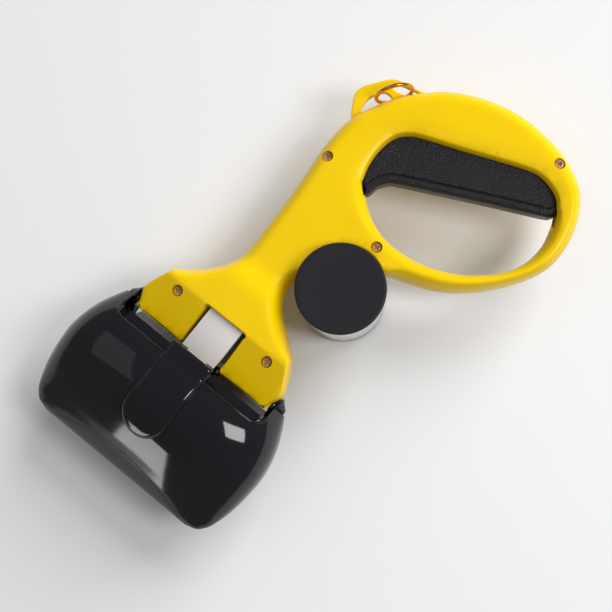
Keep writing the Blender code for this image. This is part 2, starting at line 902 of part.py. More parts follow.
def add_shell_supports(bm, region):
    """Screw bosses, the blocks that hold the hinge pins, the trigger's pivot and the spring rib."""
    low = GAP
    for place in SCREW_PLACES:
        top = shell_height(region, place) - WALL / 2
        add_cylinder(bm, (*place, low), (*place, top), BOSS_RADIUS)
    for sign in (-1, 1):
        inner, outer = sorted((sign * (HEAD_SIDE - HINGE_PIN_DEPTH - WALL), sign * HEAD_SIDE))
        reach = HINGE_PIN_RADIUS + WALL
        slope_floor = FRONT_HEIGHT - WALL / 2
        front = WALL / 2 - FRONT_REACH
        add_box(bm, (front, inner, low), (reach + WALL, outer - sign * GAP, slope_floor))
    top = shell_height(region, TRIGGER_PIVOT) - WALL / 2
    post = TRIGGER_HALF_THICKNESS + GAP
    add_cylinder(bm, (*TRIGGER_PIVOT, post), (*TRIGGER_PIVOT, top), TRIGGER_EYE_RADIUS)
    rib_top = NECK_HEIGHT - WALL / 2
    add_box(
        bm,
        (SPRING_REST, -RIB_HALF_WIDTH, low),
        (SPRING_REST + RIB_THICKNESS, RIB_HALF_WIDTH, rib_top),
    )


def eyelet_solid():
    """The flat eyelet plate on the loop, as far as the plane between the shells."""
    outer = smooth_path(scaled(EYELET_OUTER_SHARES, BODY_REACH), OUTLINE_STEP / 2)
    bm = bmesh.new()
    add_prism(bm, outer + scaled(EYELET_ROOT_SHARES, BODY_REACH), GAP, EYELET_HALF_THICKNESS)
    return bm


def eyelet_holes():
    """The plate's two openings: the large one, and the slot beyond the bar that the ring holds."""
    bm = bmesh.new()
    for shares in (EYELET_HOLE_SHARES, EYELET_SLOT_SHARES):
        outline = scaled(shares, BODY_REACH)
        add_prism(bm, outline, -OVERRUN, EYELET_HALF_THICKNESS + OVERRUN)
    return bm


def add_shell_slots(bm):
    """Room in one shell for the ears, the trigger, the sleeve's tabs and the trigger's pin."""
    low = -OVERRUN
    for sign in (-1, 1):
        side_low, side_high = sorted((sign * HEAD_SIDE, sign * JAW_HALF_WIDTH))
        ear = EAR_RADIUS + PLAY
        add_box(bm, (-ear, side_low, low), (ear, side_high, EAR_BAR_HEIGHT + PLAY))
    add_prism(bm, trigger_mouth(), low, TRIGGER_SLOT_HEIGHT)
    add_tab_slots(bm)


def add_shell_holes(bm, region, is_front):
    """Round holes of one shell and the yoke's window, in the frame where its back is up."""
    low = -OVERRUN
    for sign in (-1, 1):
        start, end = hinge_side(sign, HEAD_SIDE - HINGE_PIN_DEPTH, HEAD_SIDE + OVERRUN)
        add_cylinder(bm, start, end, HINGE_PIN_RADIUS + GAP / 2)
    add_cylinder(
        bm,
        (*TRIGGER_PIVOT, low),
        (*TRIGGER_PIVOT, TRIGGER_HALF_THICKNESS + SHELL_FLOOR),
        TRIGGER_PIN_RADIUS + GAP / 2,
    )
    window = PLATE_HALF_WIDTH + PLAY
    roof = CRANK_HEIGHT + PLATE_THICKNESS / 2 + PLAY
    add_box(bm, (RIDGE_REACH - WALL, -window, low), (RIDGE_REACH + 2 * WALL, window, roof))
    add_cylinder(
        bm,
        (SPRING_REST - OVERRUN, 0.0, 0.0),
        (SPRING_REST + RIB_THICKNESS + OVERRUN, 0.0, 0.0),
        STEM_RADIUS + PLAY,
    )
    hole = SCREW_SHANK_RADIUS + GAP
    for place in SCREW_PLACES:
        surface = shell_height(region, place)
        depth = SCREW_REACH - SHELL_FLOOR / 2
        profile = ((0.0, low), (hole, low), (hole, depth), (0.0, depth))
        if is_front:
            seat = screw_seat(surface)
            over = surface + OVERRUN
            profile = (
                (0.0, low),
                (hole, low),
                (hole, seat),
                (COUNTERBORE_RADIUS, seat),
                (COUNTERBORE_RADIUS, over),
                (0.0, over),
            )
        add_turned(bm, profile, place, SMALL_SIDES)


def screw_seat(surface):
    """Height of a counterbore's floor under the shell's surface there."""
    return surface - SCREW_SINK - SCREW_HEAD_HEIGHT / 2


def add_tab_slots(bm):
    """Recesses in the notch's wall for the two tabs of the dispenser's sleeve."""
    for direction, reach, _ in tab_places():
        add_bar(
            bm,
            CANISTER_RADIUS - OVERRUN,
            reach + PLAY,
            direction,
            TAB_HALF_WIDTH + PLAY,
            -OVERRUN,
            TAB_HALF_THICKNESS + GAP,
        )


def tab_places():
    """The sleeve's tabs: (angle, reach from the canister's axis, whether a screw holds it)."""
    screw = SCREW_PLACES[3]
    run = (screw[0] - CANISTER_PLACE[0], screw[1] - CANISTER_PLACE[1])
    reach = math.hypot(*run) + SCREW_SHANK_RADIUS + WALL
    return (
        (math.atan2(run[1], run[0]), reach, True),
        (NECK_TAB_ANGLE, CANISTER_RADIUS + NECK_TAB_REACH, False),
    )


def add_bar(bm, start, end, angle, half_width, low, high):
    """A flat bar that runs outwards from the canister's axis."""
    made = add_box(bm, (start, -half_width, low), (end, half_width, high))
    turn = Matrix.Rotation(angle, 4, "Z")
    place = Matrix.Translation((*CANISTER_PLACE, 0.0)) @ turn
    bmesh.ops.transform(bm, matrix=place, verts=made)
    return made


def make_shell(name, is_front, material):
    """One body shell. Its thin rims make the exact solver fail, so it uses the manifold one."""
    region = body_region(OUTLINE_STEP)
    side = (lambda bm: bm) if is_front else flipped
    supports = bmesh.new()
    add_shell_supports(supports, region)
    slots = bmesh.new()
    add_shell_slots(slots)
    holes = bmesh.new()
    add_shell_holes(holes, region, is_front)
    shell = make_object(name, side(shell_blank(region)), material)
    for label, bm, operation in (
        ("_cavity", shell_cavity(region), "DIFFERENCE"),
        ("_supports", supports, "UNION"),
        ("_eyelet", eyelet_solid(), "UNION"),
        ("_eyelet_holes", eyelet_holes(), "DIFFERENCE"),
        ("_slots", slots, "DIFFERENCE"),
        ("_holes", holes, "DIFFERENCE"),
    ):
        combine(shell, make_helper(name + label, side(bm)), operation, "MANIFOLD")
    return shell


def make_case_screws(material):
    region = body_region(OUTLINE_STEP)
    for number, place in enumerate(SCREW_PLACES, start=1):
        surface = shell_height(region, place)
        seat = screw_seat(surface) + GAP
        head_top = seat + SCREW_HEAD_HEIGHT
        tip = -(SCREW_REACH - SHELL_FLOOR)
        profile = (
            (0.0, tip),
            (SCREW_SHANK_RADIUS / 2, tip),
            (SCREW_SHANK_RADIUS, tip + SCREW_SHANK_RADIUS),
            (SCREW_SHANK_RADIUS, seat),
            (SCREW_HEAD_RADIUS, seat),
            (SCREW_HEAD_RADIUS, head_top - GAP),
            (SCREW_HEAD_RADIUS - GAP, head_top),
            (0.0, head_top),
        )
        bm = bmesh.new()
        add_turned(bm, profile, place, SMALL_SIDES)
        screw = make_object(f"case_screw_{number}", bm, material, (*place, seat))
        recess = bmesh.new()
        floor = head_top - SCREW_RECESS_DEPTH
        add_prism(recess, cross_outline(place), floor, head_top + OVERRUN)
        combine(screw, make_helper(f"recess_{number}", recess, (*place, seat)), "DIFFERENCE")


def cross_outline(place):
    """The cross recess of a screw, as one outline of twelve corners."""
    long, short = SCREW_RECESS_LENGTH, SCREW_RECESS_WIDTH / 2
    arm = ((long, -short), (long, short), (short, short))
    corners = []
    for quarter in range(4):
        turn = Matrix.Rotation(quarter * math.pi / 2, 2)
        corners += [tuple(Vector(place) + turn @ Vector(corner)) for corner in arm]
    return corners


# Jaws


def jaw_section(x):
    """Half width and half height of the closed jaws at x."""
    share = (x + JAW_FRONT) / JAW_LENGTH
    width = JAW_HALF_WIDTH * share_at(JAW_WIDTH_SHARES, share)
    height = JAW_HEIGHT * share_at(JAW_HEIGHT_SHARES, share) + LIP_HEIGHT / 2
    return width, height


def jaw_height(x, y, inset=0.0):
    width, height = jaw_section(x)
    width, height = width - inset, height - inset
    side = min(abs(y) / width, 1.0)
    return height * (1 - side ** CROSS_POWER) ** (1 / CROSS_POWER)


def jaw_tube(stations, inset, sides):
    """The jaws' closed outer form, or their inside, as rings from the lip to the rear."""
    bm = bmesh.new()
    power = 2 / CROSS_POWER
    rings = []
    for x in stations:
        width, height = jaw_section(x)
        ring = []
        for i in range(sides):
            angle = 2 * math.pi * i / sides
            c, s = math.cos(angle), math.sin(angle)
            y = (width - inset) * math.copysign(abs(c) ** power, c)
            z = (height - inset) * math.copysign(abs(s) ** power, s)
            ring.append(bm.verts.new((x, y, z)))
        rings.append(ring)
    bm.faces.new(rings[0])
    bm.faces.new(rings[-1][::-1])
    for front, back in zip(rings, rings[1:]):
        for i in range(sides):
            j = (i + 1) % sides
            bm.faces.new((front[i], front[j], back[j], back[i]))
    turn_outwards(bm, bm.faces[:])
    return bm


def jaw_stations(start, end, count):
    """Stations that stand closer together near the lip."""
    return [start + (end - start) * (i / count) ** STATION_POWER for i in range(count + 1)]


def parting_height(x, y):
    """Height of the line where the jaws meet: level at the sides, bowed up at the lip."""
    bow = max(0.0, 1 - (y / PARTING_HALF_WIDTH) ** 2)
    front = min(1.0, max(0.0, (-x - JAW_FRONT + PARTING_LENGTH) / PARTING_LENGTH * 2))
    return PARTING_BOW * bow * front


def parting_block(sign):
    """Everything on one side of the parting line, half a gap clear of it."""
    bm = bmesh.new()
    steps = PARTING_STEPS
    width = JAW_HALF_WIDTH + OVERRUN
    xs = [-JAW_FRONT - OVERRUN + (JAW_LENGTH + 2 * OVERRUN) * i / steps for i in range(steps + 1)]
    ys = [width * (2 * j / steps - 1) for j in range(steps + 1)]
    far = sign * (JAW_HEIGHT + TONGUE_RISE + 2 * OVERRUN)
    near = [
        [bm.verts.new((x, y, parting_height(x, y) - sign * GAP / 2)) for y in ys] for x in xs
    ]
    away = [[bm.verts.new((x, y, far)) for y in ys] for x in xs]
    for i in range(steps):
        for j in range(steps):
            for grid in (near, away):
                bm.faces.new((grid[i][j], grid[i + 1][j], grid[i + 1][j + 1], grid[i][j + 1]))
    for i in range(steps):
        for j in (0, steps):
            bm.faces.new((near[i][j], near[i + 1][j], away[i + 1][j], away[i][j]))
            bm.faces.new((near[j][i], near[j][i + 1], away[j][i + 1], away[j][i]))
    turn_outwards(bm, bm.faces[:])
    return bm


def head_clearance():
    """The cutout at the rear of the jaws that goes round the head."""
    corner = CUTOUT_ROUND
    near, far = -REAR_WALL_REACH, JAW_LENGTH
    half = HEAD_SIDE + CUTOUT_CLEARANCE
    outline = closed_loop(
        [(far, -half), (far, half)],
        arc_path(
            (near + corner, half - corner), corner, math.pi / 2, math.pi, OUTLINE_STEP / 2
        ),
        arc_path(
            (near + corner, -half + corner), corner, math.pi, 1.5 * math.pi, OUTLINE_STEP / 2
        ),
    )
    height = JAW_HEIGHT + TONGUE_RISE + OVERRUN
    bm = bmesh.new()
    add_prism(bm, outline, -height, height)
    return bm


def tongue_solid(sign):
    """The raised pad on the jaw's back, which reaches over the pull plate."""
    half = TONGUE_HALF_WIDTH
    nose = (half - TONGUE_FRONT, 0.0)
    outline = closed_loop(
        straight_path((-TONGUE_REAR, -half), (-TONGUE_REAR, half), OUTLINE_STEP),
        straight_path((-TONGUE_REAR, half), (nose[0], half), OUTLINE_STEP),
        arc_path(nose, half, math.pi / 2, 1.5 * math.pi, OUTLINE_STEP),
        straight_path((nose[0], -half), (-TONGUE_REAR, -half), OUTLINE_STEP),
    )
    region = Region([outline], [np.full(len(outline), TONGUE_EDGE)])

    def back(flat):
        return np.array([tongue_height(x, y) for x, y in flat])

    def top(flat, depth):
        return back(flat) - TONGUE_EDGE * (1 - quarter_round(depth))

    def bottom(flat, depth):
        return back(flat) - TONGUE_THICKNESS

    bm = solid_between(region, TONGUE_RING_SHARES, FIELD_STEP, top, bottom)
    return bm if sign > 0 else flipped(bm)


def tongue_height(x, y):
    """The pad's back follows the jaw, and runs out level over the cutout."""
    return jaw_height(min(x, -REAR_WALL_REACH), y / 2) + TONGUE_RISE


def crank_outline(radius):
    """A round-ended link in the plane XZ, as long as the way the drive pin takes along it."""
    angle = math.atan2(CRANK_HEIGHT, -YOKE_TRAVEL / 2)
    longest = math.hypot(CRANK_HEIGHT, YOKE_TRAVEL / 2) + PLAY / 2
    shortest = CRANK_HEIGHT - PLAY / 2
    points = []
    sides = SMALL_SIDES // 2
    for middle, start in ((longest, angle - math.pi / 2), (shortest, angle + math.pi / 2)):
        for i in range(sides + 1):
            a = start + math.pi * i / sides
            points.append(
                (
                    middle * math.cos(angle) + radius * math.cos(a),
                    middle * math.sin(angle) + radius * math.sin(a),
                )
            )
    return points


def add_side_prism(bm, outline, low, high, sign):
    """A prism across the tool, from an outline in the plane XZ."""
    faces = add_prism(bm, outline, low, high)
    for vert in {v for face in faces for v in face.verts}:
        x, z, y = vert.co
        vert.co = (x, y, sign * z)
    turn_outwards(bm, faces)


def make_jaw(name, sign, material):
    """One jaw: sign is 1 for the upper one and -1 for the lower one.

    The ears' room makes the exact solver fail, so the jaws use the manifold one.
    """
    front = -JAW_FRONT
    rear = JAW_LENGTH - JAW_FRONT
    blank = jaw_tube(jaw_stations(front, rear, JAW_STATIONS), 0.0, JAW_SIDES)
    jaw = make_object(name, blank, material, smooth=JAW_SOFT_ANGLE)
    inside_ends = (front + 2 * JAW_WALL, -REAR_WALL_REACH - JAW_WALL)
    stations = jaw_stations(*inside_ends, JAW_INSIDE_STATIONS)
    steps = [
        ("_inside", jaw_tube(stations, JAW_WALL, JAW_INSIDE_SIDES), "DIFFERENCE"),
        ("_other_side", parting_block(-sign), "DIFFERENCE"),
        ("_cutout", head_clearance(), "DIFFERENCE"),
        ("_flanks", flank_trims(), "DIFFERENCE"),
        ("_tongue", tongue_solid(sign), "UNION"),
        ("_arms", jaw_arms(sign), "UNION"),
        ("_ears", jaw_ears(sign), "UNION"),
        ("_holes", jaw_holes(sign), "DIFFERENCE"),
    ]
    if sign < 0:
        steps.insert(4, ("_ear_room", ear_room(), "DIFFERENCE"))
    for label, bm, operation in steps:
        combine(jaw, make_helper(name + label, bm), operation, "MANIFOLD")
    return jaw


def jaw_holes(sign):
    """Holes of the hinge pins and the slot of the drive pin."""
    bm = bmesh.new()
    for side in (-1, 1):
        start, end = hinge_side(side, HEAD_SIDE, JAW_HALF_WIDTH)
        add_cylinder(bm, start, end, HINGE_PIN_RADIUS + GAP / 2)
    slot = crank_outline(DRIVE_PIN_RADIUS + PLAY / 2)
    reach = DRIVE_PIN_HALF_LENGTH + OVERRUN
    add_side_prism(bm, slot, -reach, reach, sign)
    return bm


def ear_span(sign):
    """Where the ears stand along Y: the lower jaw's inside the upper jaw's."""
    inner = HEAD_SIDE + GAP
    if sign > 0:
        inner += EAR_THICKNESS + GAP
    return inner, inner + EAR_THICKNESS


def flank_trims():
    """Clears the jaw's flanks behind the hinge."""
    bm = bmesh.new()
    height = JAW_HEIGHT + OVERRUN
    for side in (-1, 1):
        inner = HEAD_SIDE + CUTOUT_CLEARANCE - OVERRUN
        outer = JAW_HALF_WIDTH + OVERRUN
        low, high = sorted((side * inner, side * outer))
        add_box(bm, (0.0, low, -height), (JAW_LENGTH, high, height))
    return bm


def ear_room():
    """Room in the lower jaw's flanks for the upper jaw's ears."""
    bm = bmesh.new()
    for side in (-1, 1):
        inner = HEAD_SIDE + CUTOUT_CLEARANCE - OVERRUN
        outer = JAW_HALF_WIDTH + OVERRUN
        start, end = hinge_side(side, inner, outer)
        add_cylinder(bm, start, end, EAR_RADIUS + PLAY, ROUND_SIDES)
    return bm


def jaw_arms(sign):
    """What carries the ears and the slotted lugs behind the jaw's rear wall."""
    bm = bmesh.new()
    ear_inner, ear_outer = ear_span(sign)
    lug_inner, lug_outer = lug_span()
    rooted = -REAR_WALL_REACH - JAW_WALL / 2
    foot = CRANK_HEIGHT / 3
    arm = (
        (rooted, foot),
        (-YOKE_TRAVEL / 2, CRANK_HEIGHT - LUG_RADIUS / 2),
        (-YOKE_TRAVEL / 2, CRANK_HEIGHT + LUG_RADIUS / 2),
        (rooted, CRANK_HEIGHT + LUG_RADIUS),
    )
    for side in (-1, 1):
        low, high = sorted((side * ear_inner, side * ear_outer))
        near, far = sorted((sign * GAP, sign * EAR_BAR_HEIGHT))
        add_box(bm, (rooted, low, near), (0.0, high, far))
        low, high = sorted((side * lug_inner, side * lug_outer))
        add_side_prism(bm, arm, low, high, sign)
    return bm


def jaw_ears(sign):
    """The round ends: the ears on the hinge pins and the lugs on the drive pin."""
    bm = bmesh.new()
    ear_inner, ear_outer = ear_span(sign)
    lug_inner, lug_outer = lug_span()
    link = crank_outline(LUG_RADIUS)
    for side in (-1, 1):
        start, end = hinge_side(side, ear_inner, ear_outer)
        add_cylinder(bm, start, end, EAR_RADIUS, ROUND_SIDES)
        low, high = sorted((side * lug_inner, side * lug_outer))
        add_side_prism(bm, link, low, high, sign)
    return bm


def lug_span():
    inner = PLATE_NECK_HALF_WIDTH + GAP
    return inner, inner + LUG_THICKNESS


def make_hinge_pins(material):
    outer = HEAD_SIDE + 2 * (EAR_THICKNESS + GAP) + GAP
    for name, side in (("left_hinge_pin", 1), ("right_hinge_pin", -1)):
        bm = bmesh.new()
        start, end = hinge_side(side, HEAD_SIDE - HINGE_PIN_DEPTH + GAP, outer)
        add_cylinder(bm, start, end, HINGE_PIN_RADIUS)
        make_object(name, bm, material)


# Pull yoke, drive pins and return spring


def make_pull_yoke(material):
    """The sliding yoke: two plates at the jaws, a block and a stem, and a fork at the trigger."""
    half = PLATE_THICKNESS / 2
    top = CRANK_HEIGHT + half
    block = (
        (YOKE_BLOCK_START, -top),
        (YOKE_BLOCK_START + PLATE_THICKNESS, -top),
        (YOKE_BLOCK_END, -YOKE_SHOULDER_HALF),
        (YOKE_BLOCK_END, YOKE_SHOULDER_HALF),
        (YOKE_BLOCK_START + PLATE_THICKNESS, top),
        (YOKE_BLOCK_START, top),
    )
    bm = bmesh.new()
    add_side_prism(bm, block, -YOKE_BLOCK_HALF_WIDTH, YOKE_BLOCK_HALF_WIDTH, 1)
    yoke = make_object("pull_yoke", bm, material)
    for label, add in (("plates", add_yoke_plates), ("eyes", add_yoke_eyes)):
        piece = bmesh.new()
        add(piece)
        combine(yoke, make_helper("yoke_" + label, piece), "UNION")
    stem = bmesh.new()
    add_cylinder(
        stem, (YOKE_BLOCK_END - WALL, 0.0, 0.0), (STEM_END + WALL / 2, 0.0, 0.0), STEM_RADIUS
    )
    combine(yoke, make_helper("yoke_stem", stem), "UNION")
    fork_middle = TRIGGER_DRIVE[1] + FORK_SHIFT
    fork_low = fork_middle - FORK_SPAN / 2
    fork_high = fork_middle + FORK_SPAN / 2
    height = FORK_OPENING + FORK_TINE
    end = STEM_END + FORK_LENGTH
    fork = bmesh.new()
    add_box(fork, (STEM_END, fork_low, -height), (end, fork_high, height))
    combine(yoke, make_helper("yoke_fork", fork), "UNION")
    throat = bmesh.new()
    add_box(
        throat,
        (STEM_END + WALL, fork_low - OVERRUN, -FORK_OPENING),
        (end + OVERRUN, fork_high + OVERRUN, FORK_OPENING),
    )
    combine(yoke, make_helper("yoke_throat", throat), "DIFFERENCE")
    cuts = bmesh.new()
    slot = DRIVE_PIN_RADIUS + PLAY / 2
    add_box(
        cuts,
        (TRIGGER_DRIVE[0] - slot, fork_low + FORK_SLOT_MARGIN, -height - OVERRUN),
        (TRIGGER_DRIVE[0] + slot, fork_high - FORK_SLOT_MARGIN, height + OVERRUN),
    )
    pin = -YOKE_TRAVEL / 2
    reach = PLATE_NECK_HALF_WIDTH + OVERRUN
    for centre in (-CRANK_HEIGHT, CRANK_HEIGHT):
        add_cylinder(
            cuts, (pin, -reach, centre), (pin, reach, centre), DRIVE_PIN_RADIUS + GAP / 2
        )
    combine(yoke, make_helper("yoke_cuts", cuts), "DIFFERENCE")
    return yoke


def add_yoke_plates(bm):
    pin = -YOKE_TRAVEL / 2
    half = PLATE_THICKNESS / 2
    shoulder = pin + LUG_RADIUS + YOKE_SHOULDER_CLEARANCE
    end = YOKE_BLOCK_START + half
    outline = (
        (pin, -PLATE_NECK_HALF_WIDTH + GAP),
        (shoulder, -PLATE_NECK_HALF_WIDTH + GAP),
        (shoulder + half, -PLATE_HALF_WIDTH),
        (end, -PLATE_HALF_WIDTH),
        (end, PLATE_HALF_WIDTH),
        (shoulder + half, PLATE_HALF_WIDTH),
        (shoulder, PLATE_NECK_HALF_WIDTH - GAP),
        (pin, PLATE_NECK_HALF_WIDTH - GAP),
    )
    for centre in (-CRANK_HEIGHT, CRANK_HEIGHT):
        add_prism(bm, outline, centre - half, centre + half)


def add_yoke_eyes(bm):
    pin = -YOKE_TRAVEL / 2
    half = PLATE_NECK_HALF_WIDTH
    for centre in (-CRANK_HEIGHT, CRANK_HEIGHT):
        add_cylinder(bm, (pin, -half, centre), (pin, half, centre), PLATE_THICKNESS)


def make_drive_pins(material):
    pin = -YOKE_TRAVEL / 2
    for name, sign in (("upper_drive_pin", 1), ("lower_drive_pin", -1)):
        bm = bmesh.new()
        centre = sign * CRANK_HEIGHT
        add_cylinder(
            bm,
            (pin, -DRIVE_PIN_HALF_LENGTH, centre),
            (pin, DRIVE_PIN_HALF_LENGTH, centre),
            DRIVE_PIN_RADIUS,
        )
        make_object(name, bm, material, (pin, 0.0, centre))


def make_return_spring(material):
    """A compression spring round the yoke's stem, as one unbroken tube."""
    curve = bpy.data.curves.new("return_spring", "CURVE")
    curve.dimensions = "3D"
    curve.bevel_depth = SPRING_WIRE
    curve.bevel_resolution = 1
    curve.use_fill_caps = True
    start = YOKE_BLOCK_END + SPRING_WIRE + GAP
    end = SPRING_REST - SPRING_WIRE - GAP
    count = SPRING_TURNS * SPRING_TURN_POINTS
    spline = curve.splines.new("POLY")
    spline.points.add(count)
    for i, point in enumerate(spline.points):
        angle = 2 * math.pi * SPRING_TURNS * i / count
        x = start + (end - start) * i / count
        point.co = (x, SPRING_RADIUS * math.cos(angle), SPRING_RADIUS * math.sin(angle), 1.0)
    pitch = (end - start) / SPRING_TURNS
    print("return spring: gap between turns", round(pitch - 2 * SPRING_WIRE, 5), "m")
    spring = bpy.data.objects.new("return_spring", curve)
    bpy.context.collection.objects.link(spring)
    curve.materials.append(material)
    return spring


# Trigger


def trigger_plan():
    finger = smooth_path(scaled(TRIGGER_FINGER_SHARES, TRIGGER_SPAN, TRIGGER_PIVOT), OUTLINE_STEP)
    back = smooth_path(scaled(TRIGGER_BACK_SHARES, TRIGGER_SPAN, TRIGGER_PIVOT), OUTLINE_STEP)
    eye = arc_path(
        TRIGGER_PIVOT, TRIGGER_EYE_RADIUS, TRIGGER_EYE_START, TRIGGER_EYE_END, OUTLINE_STEP / 2
    )
    return closed_loop(finger, eye, back)


def make_trigger(material):
    outline = trigger_plan()
    region = Region([outline], [np.full(len(outline), TRIGGER_EDGE)])

    def top(flat, depth):
        return TRIGGER_HALF_THICKNESS - TRIGGER_EDGE * (1 - quarter_round(depth))

    def bottom(flat, depth):
        return -top(flat, depth)

    bm = solid_between(region, TRIGGER_RING_SHARES, FIELD_STEP, top, bottom)
    origin = (*TRIGGER_PIVOT, 0.0)
    trigger = make_object("trigger", bm, material, origin, smooth=TRIGGER_SOFT_ANGLE)
    arm = bmesh.new()
    root = scaled((TRIGGER_BACK_SHARES[-2],), TRIGGER_SPAN, TRIGGER_PIVOT)[0]
    thick = TRIGGER_ARM_HALF_THICKNESS
    add_prism(arm, link_outline(TRIGGER_DRIVE, root, TRIGGER_ARM_HALF_WIDTH), -thick, thick)
    combine(trigger, make_helper("trigger_arm", arm, origin), "UNION", "MANIFOLD")
    cuts = bmesh.new()
    reach = TRIGGER_HALF_THICKNESS + OVERRUN
    add_cylinder(
        cuts, (*TRIGGER_PIVOT, -reach), (*TRIGGER_PIVOT, reach), TRIGGER_PIN_RADIUS + GAP / 2
    )
    add_cylinder(
        cuts, (*TRIGGER_DRIVE, -reach), (*TRIGGER_DRIVE, reach), DRIVE_PIN_RADIUS + GAP / 2
    )
    combine(trigger, make_helper("trigger_cuts", cuts, origin), "DIFFERENCE", "MANIFOLD")
    return trigger


def link_outline(start, end, half_width):
    """A link from start, where it ends round, to end, where it ends square."""
    run = Vector(end) - Vector(start)
    side = Vector((-run.y, run.x)).normalized() * half_width
    along = math.atan2(run.y, run.x)
    nose = arc_path(
        start, half_width, along + math.pi / 2, along + 1.5 * math.pi, half_width / 3
    )
    corners = [Vector(end) - side, Vector(end) + side]
    return nose + [(p.x, p.y) for p in corners]


def make_trigger_pins(material):
    for name, place, radius, reach in (
        ("trigger_pivot_pin", TRIGGER_PIVOT, TRIGGER_PIN_RADIUS,
         TRIGGER_HALF_THICKNESS + SHELL_FLOOR - GAP),
        ("trigger_drive_pin", TRIGGER_DRIVE, DRIVE_PIN_RADIUS, FORK_OPENING + FORK_TINE),
    ):
        bm = bmesh.new()
        add_cylinder(bm, (*place, -reach), (*place, reach), radius)
        make_object(name, bm, material, (*place, 0.0))


# Bag dispenser


def floor_level():
    """The plane that the tool lies on: the back of the lower jaw's pad."""
    crest = max(JAW_WIDTH_SHARES, key=lambda pair: pair[1])[0]
    return -tongue_height(-JAW_FRONT + crest * JAW_LENGTH, 0.0)


def make_dispenser(chrome, black, bag, card):
    place = CANISTER_PLACE
    floor = floor_level()
    base_top = floor + BASE_THICKNESS
    inner = CANISTER_RADIUS - CANISTER_WALL
    sleeve = bmesh.new()
    add_turned(
        sleeve,
        (
            (inner, base_top + GAP),
            (CANISTER_RADIUS, base_top + GAP),
            (CANISTER_RADIUS, CANISTER_TOP - GAP),
            (inner, CANISTER_TOP - GAP),
        ),
        place,
        2 * ROUND_SIDES,
    )
    sleeve_object = make_object("dispenser_sleeve", sleeve, chrome, (*place, base_top))
    tabs = bmesh.new()
    holes = bmesh.new()
    for angle, reach, has_screw in tab_places():
        add_bar(
            tabs,
            CANISTER_RADIUS - CANISTER_WALL / 2,
            reach,
            angle,
            TAB_HALF_WIDTH,
            -TAB_HALF_THICKNESS,
            TAB_HALF_THICKNESS,
        )
        if has_screw:
            screw = SCREW_PLACES[3]
            add_cylinder(
                holes,
                (*screw, -TAB_HALF_THICKNESS - OVERRUN),
                (*screw, TAB_HALF_THICKNESS + OVERRUN),
                SCREW_SHANK_RADIUS + GAP,
            )
    helper = make_helper("sleeve_tabs", tabs, (*place, base_top))
    combine(sleeve_object, helper, "UNION")
    helper = make_helper("sleeve_holes", holes, (*place, base_top))
    combine(sleeve_object, helper, "DIFFERENCE")

    edge = CAP_THICKNESS / 3
    top = CANISTER_TOP + CAP_THICKNESS
    skirt_outer = inner - GAP
    skirt_inner = skirt_outer - CAP_SKIRT_WALL
    cap = bmesh.new()
    add_turned(
        cap,
        (
            (0.0, top),
            (CAP_RADIUS - edge, top),
            (CAP_RADIUS - edge / 3, top - edge / 3),
            (CAP_RADIUS, top - edge),
            (CAP_RADIUS, CANISTER_TOP),
            (skirt_outer, CANISTER_TOP),
            (skirt_outer, CANISTER_TOP - CAP_SKIRT_DEPTH),
            (skirt_inner, CANISTER_TOP - CAP_SKIRT_DEPTH),
            (skirt_inner, CANISTER_TOP),
            (0.0, CANISTER_TOP),
        ),
        place,
        2 * ROUND_SIDES,
    )
    make_object("dispenser_cap", cap, black, (*place, CANISTER_TOP))

    make_dispenser_base(black, floor, base_top, inner)

    roll_low = base_top + GAP
    roll_high = roll_low + ROLL_HEIGHT
    core = bmesh.new()
    core_inner = CORE_RADIUS - CORE_WALL
    add_turned(
        core,
        (
            (core_inner, roll_low),
            (CORE_RADIUS, roll_low),
            (CORE_RADIUS, roll_high),
            (core_inner, roll_high),
        ),
        place,
    )
    make_object("roll_core", core, card, (*place, roll_low))
    roll = bmesh.new()
    roll_inner = CORE_RADIUS + GAP
    add_turned(
        roll,
        (
            (roll_inner, roll_low),
            (ROLL_RADIUS, roll_low),
            (ROLL_RADIUS, roll_high),
            (roll_inner, roll_high),
        ),
        place,
    )
    make_object("bag_roll", roll, bag, (*place, roll_low))


def make_dispenser_base(material, floor, base_top, inner):
    """The floor of the dispenser, with its spigot, its spindle and the port for the bags."""
    place = CANISTER_PLACE
    spigot_outer = inner - GAP
    spigot_inner = spigot_outer - CAP_SKIRT_WALL
    spindle_top = base_top + SPINDLE_HEIGHT
    base = bmesh.new()
    add_turned(
        base,
        (
            (0.0, floor),
            (CANISTER_RADIUS, floor),
            (CANISTER_RADIUS, base_top),
            (spigot_outer, base_top),
            (spigot_outer, base_top + BASE_SPIGOT),
            (spigot_inner, base_top + BASE_SPIGOT),
            (spigot_inner, base_top),
            (SPINDLE_RADIUS, base_top),
            (SPINDLE_RADIUS, spindle_top - WALL),
            (SPINDLE_RADIUS - WALL / 2, spindle_top),
            (0.0, spindle_top),
        ),
        place,
        2 * ROUND_SIDES,
    )
    base_object = make_object("dispenser_base", base, material, (*place, floor))
    port = bmesh.new()
    inner_arc = arc_path(
        place,
        BAG_PORT_RADIUS - BAG_PORT_HALF_WIDTH,
        -BAG_PORT_HALF_ANGLE,
        BAG_PORT_HALF_ANGLE,
        OUTLINE_STEP / 2,
    )
    outer_arc = arc_path(
        place,
        BAG_PORT_RADIUS + BAG_PORT_HALF_WIDTH,
        BAG_PORT_HALF_ANGLE,
        -BAG_PORT_HALF_ANGLE,
        OUTLINE_STEP / 2,
    )
    add_prism(port, outer_arc + inner_arc, floor - OVERRUN, base_top + OVERRUN)
    combine(base_object, make_helper("bag_port", port, (*place, floor)), "DIFFERENCE")


# Key ring


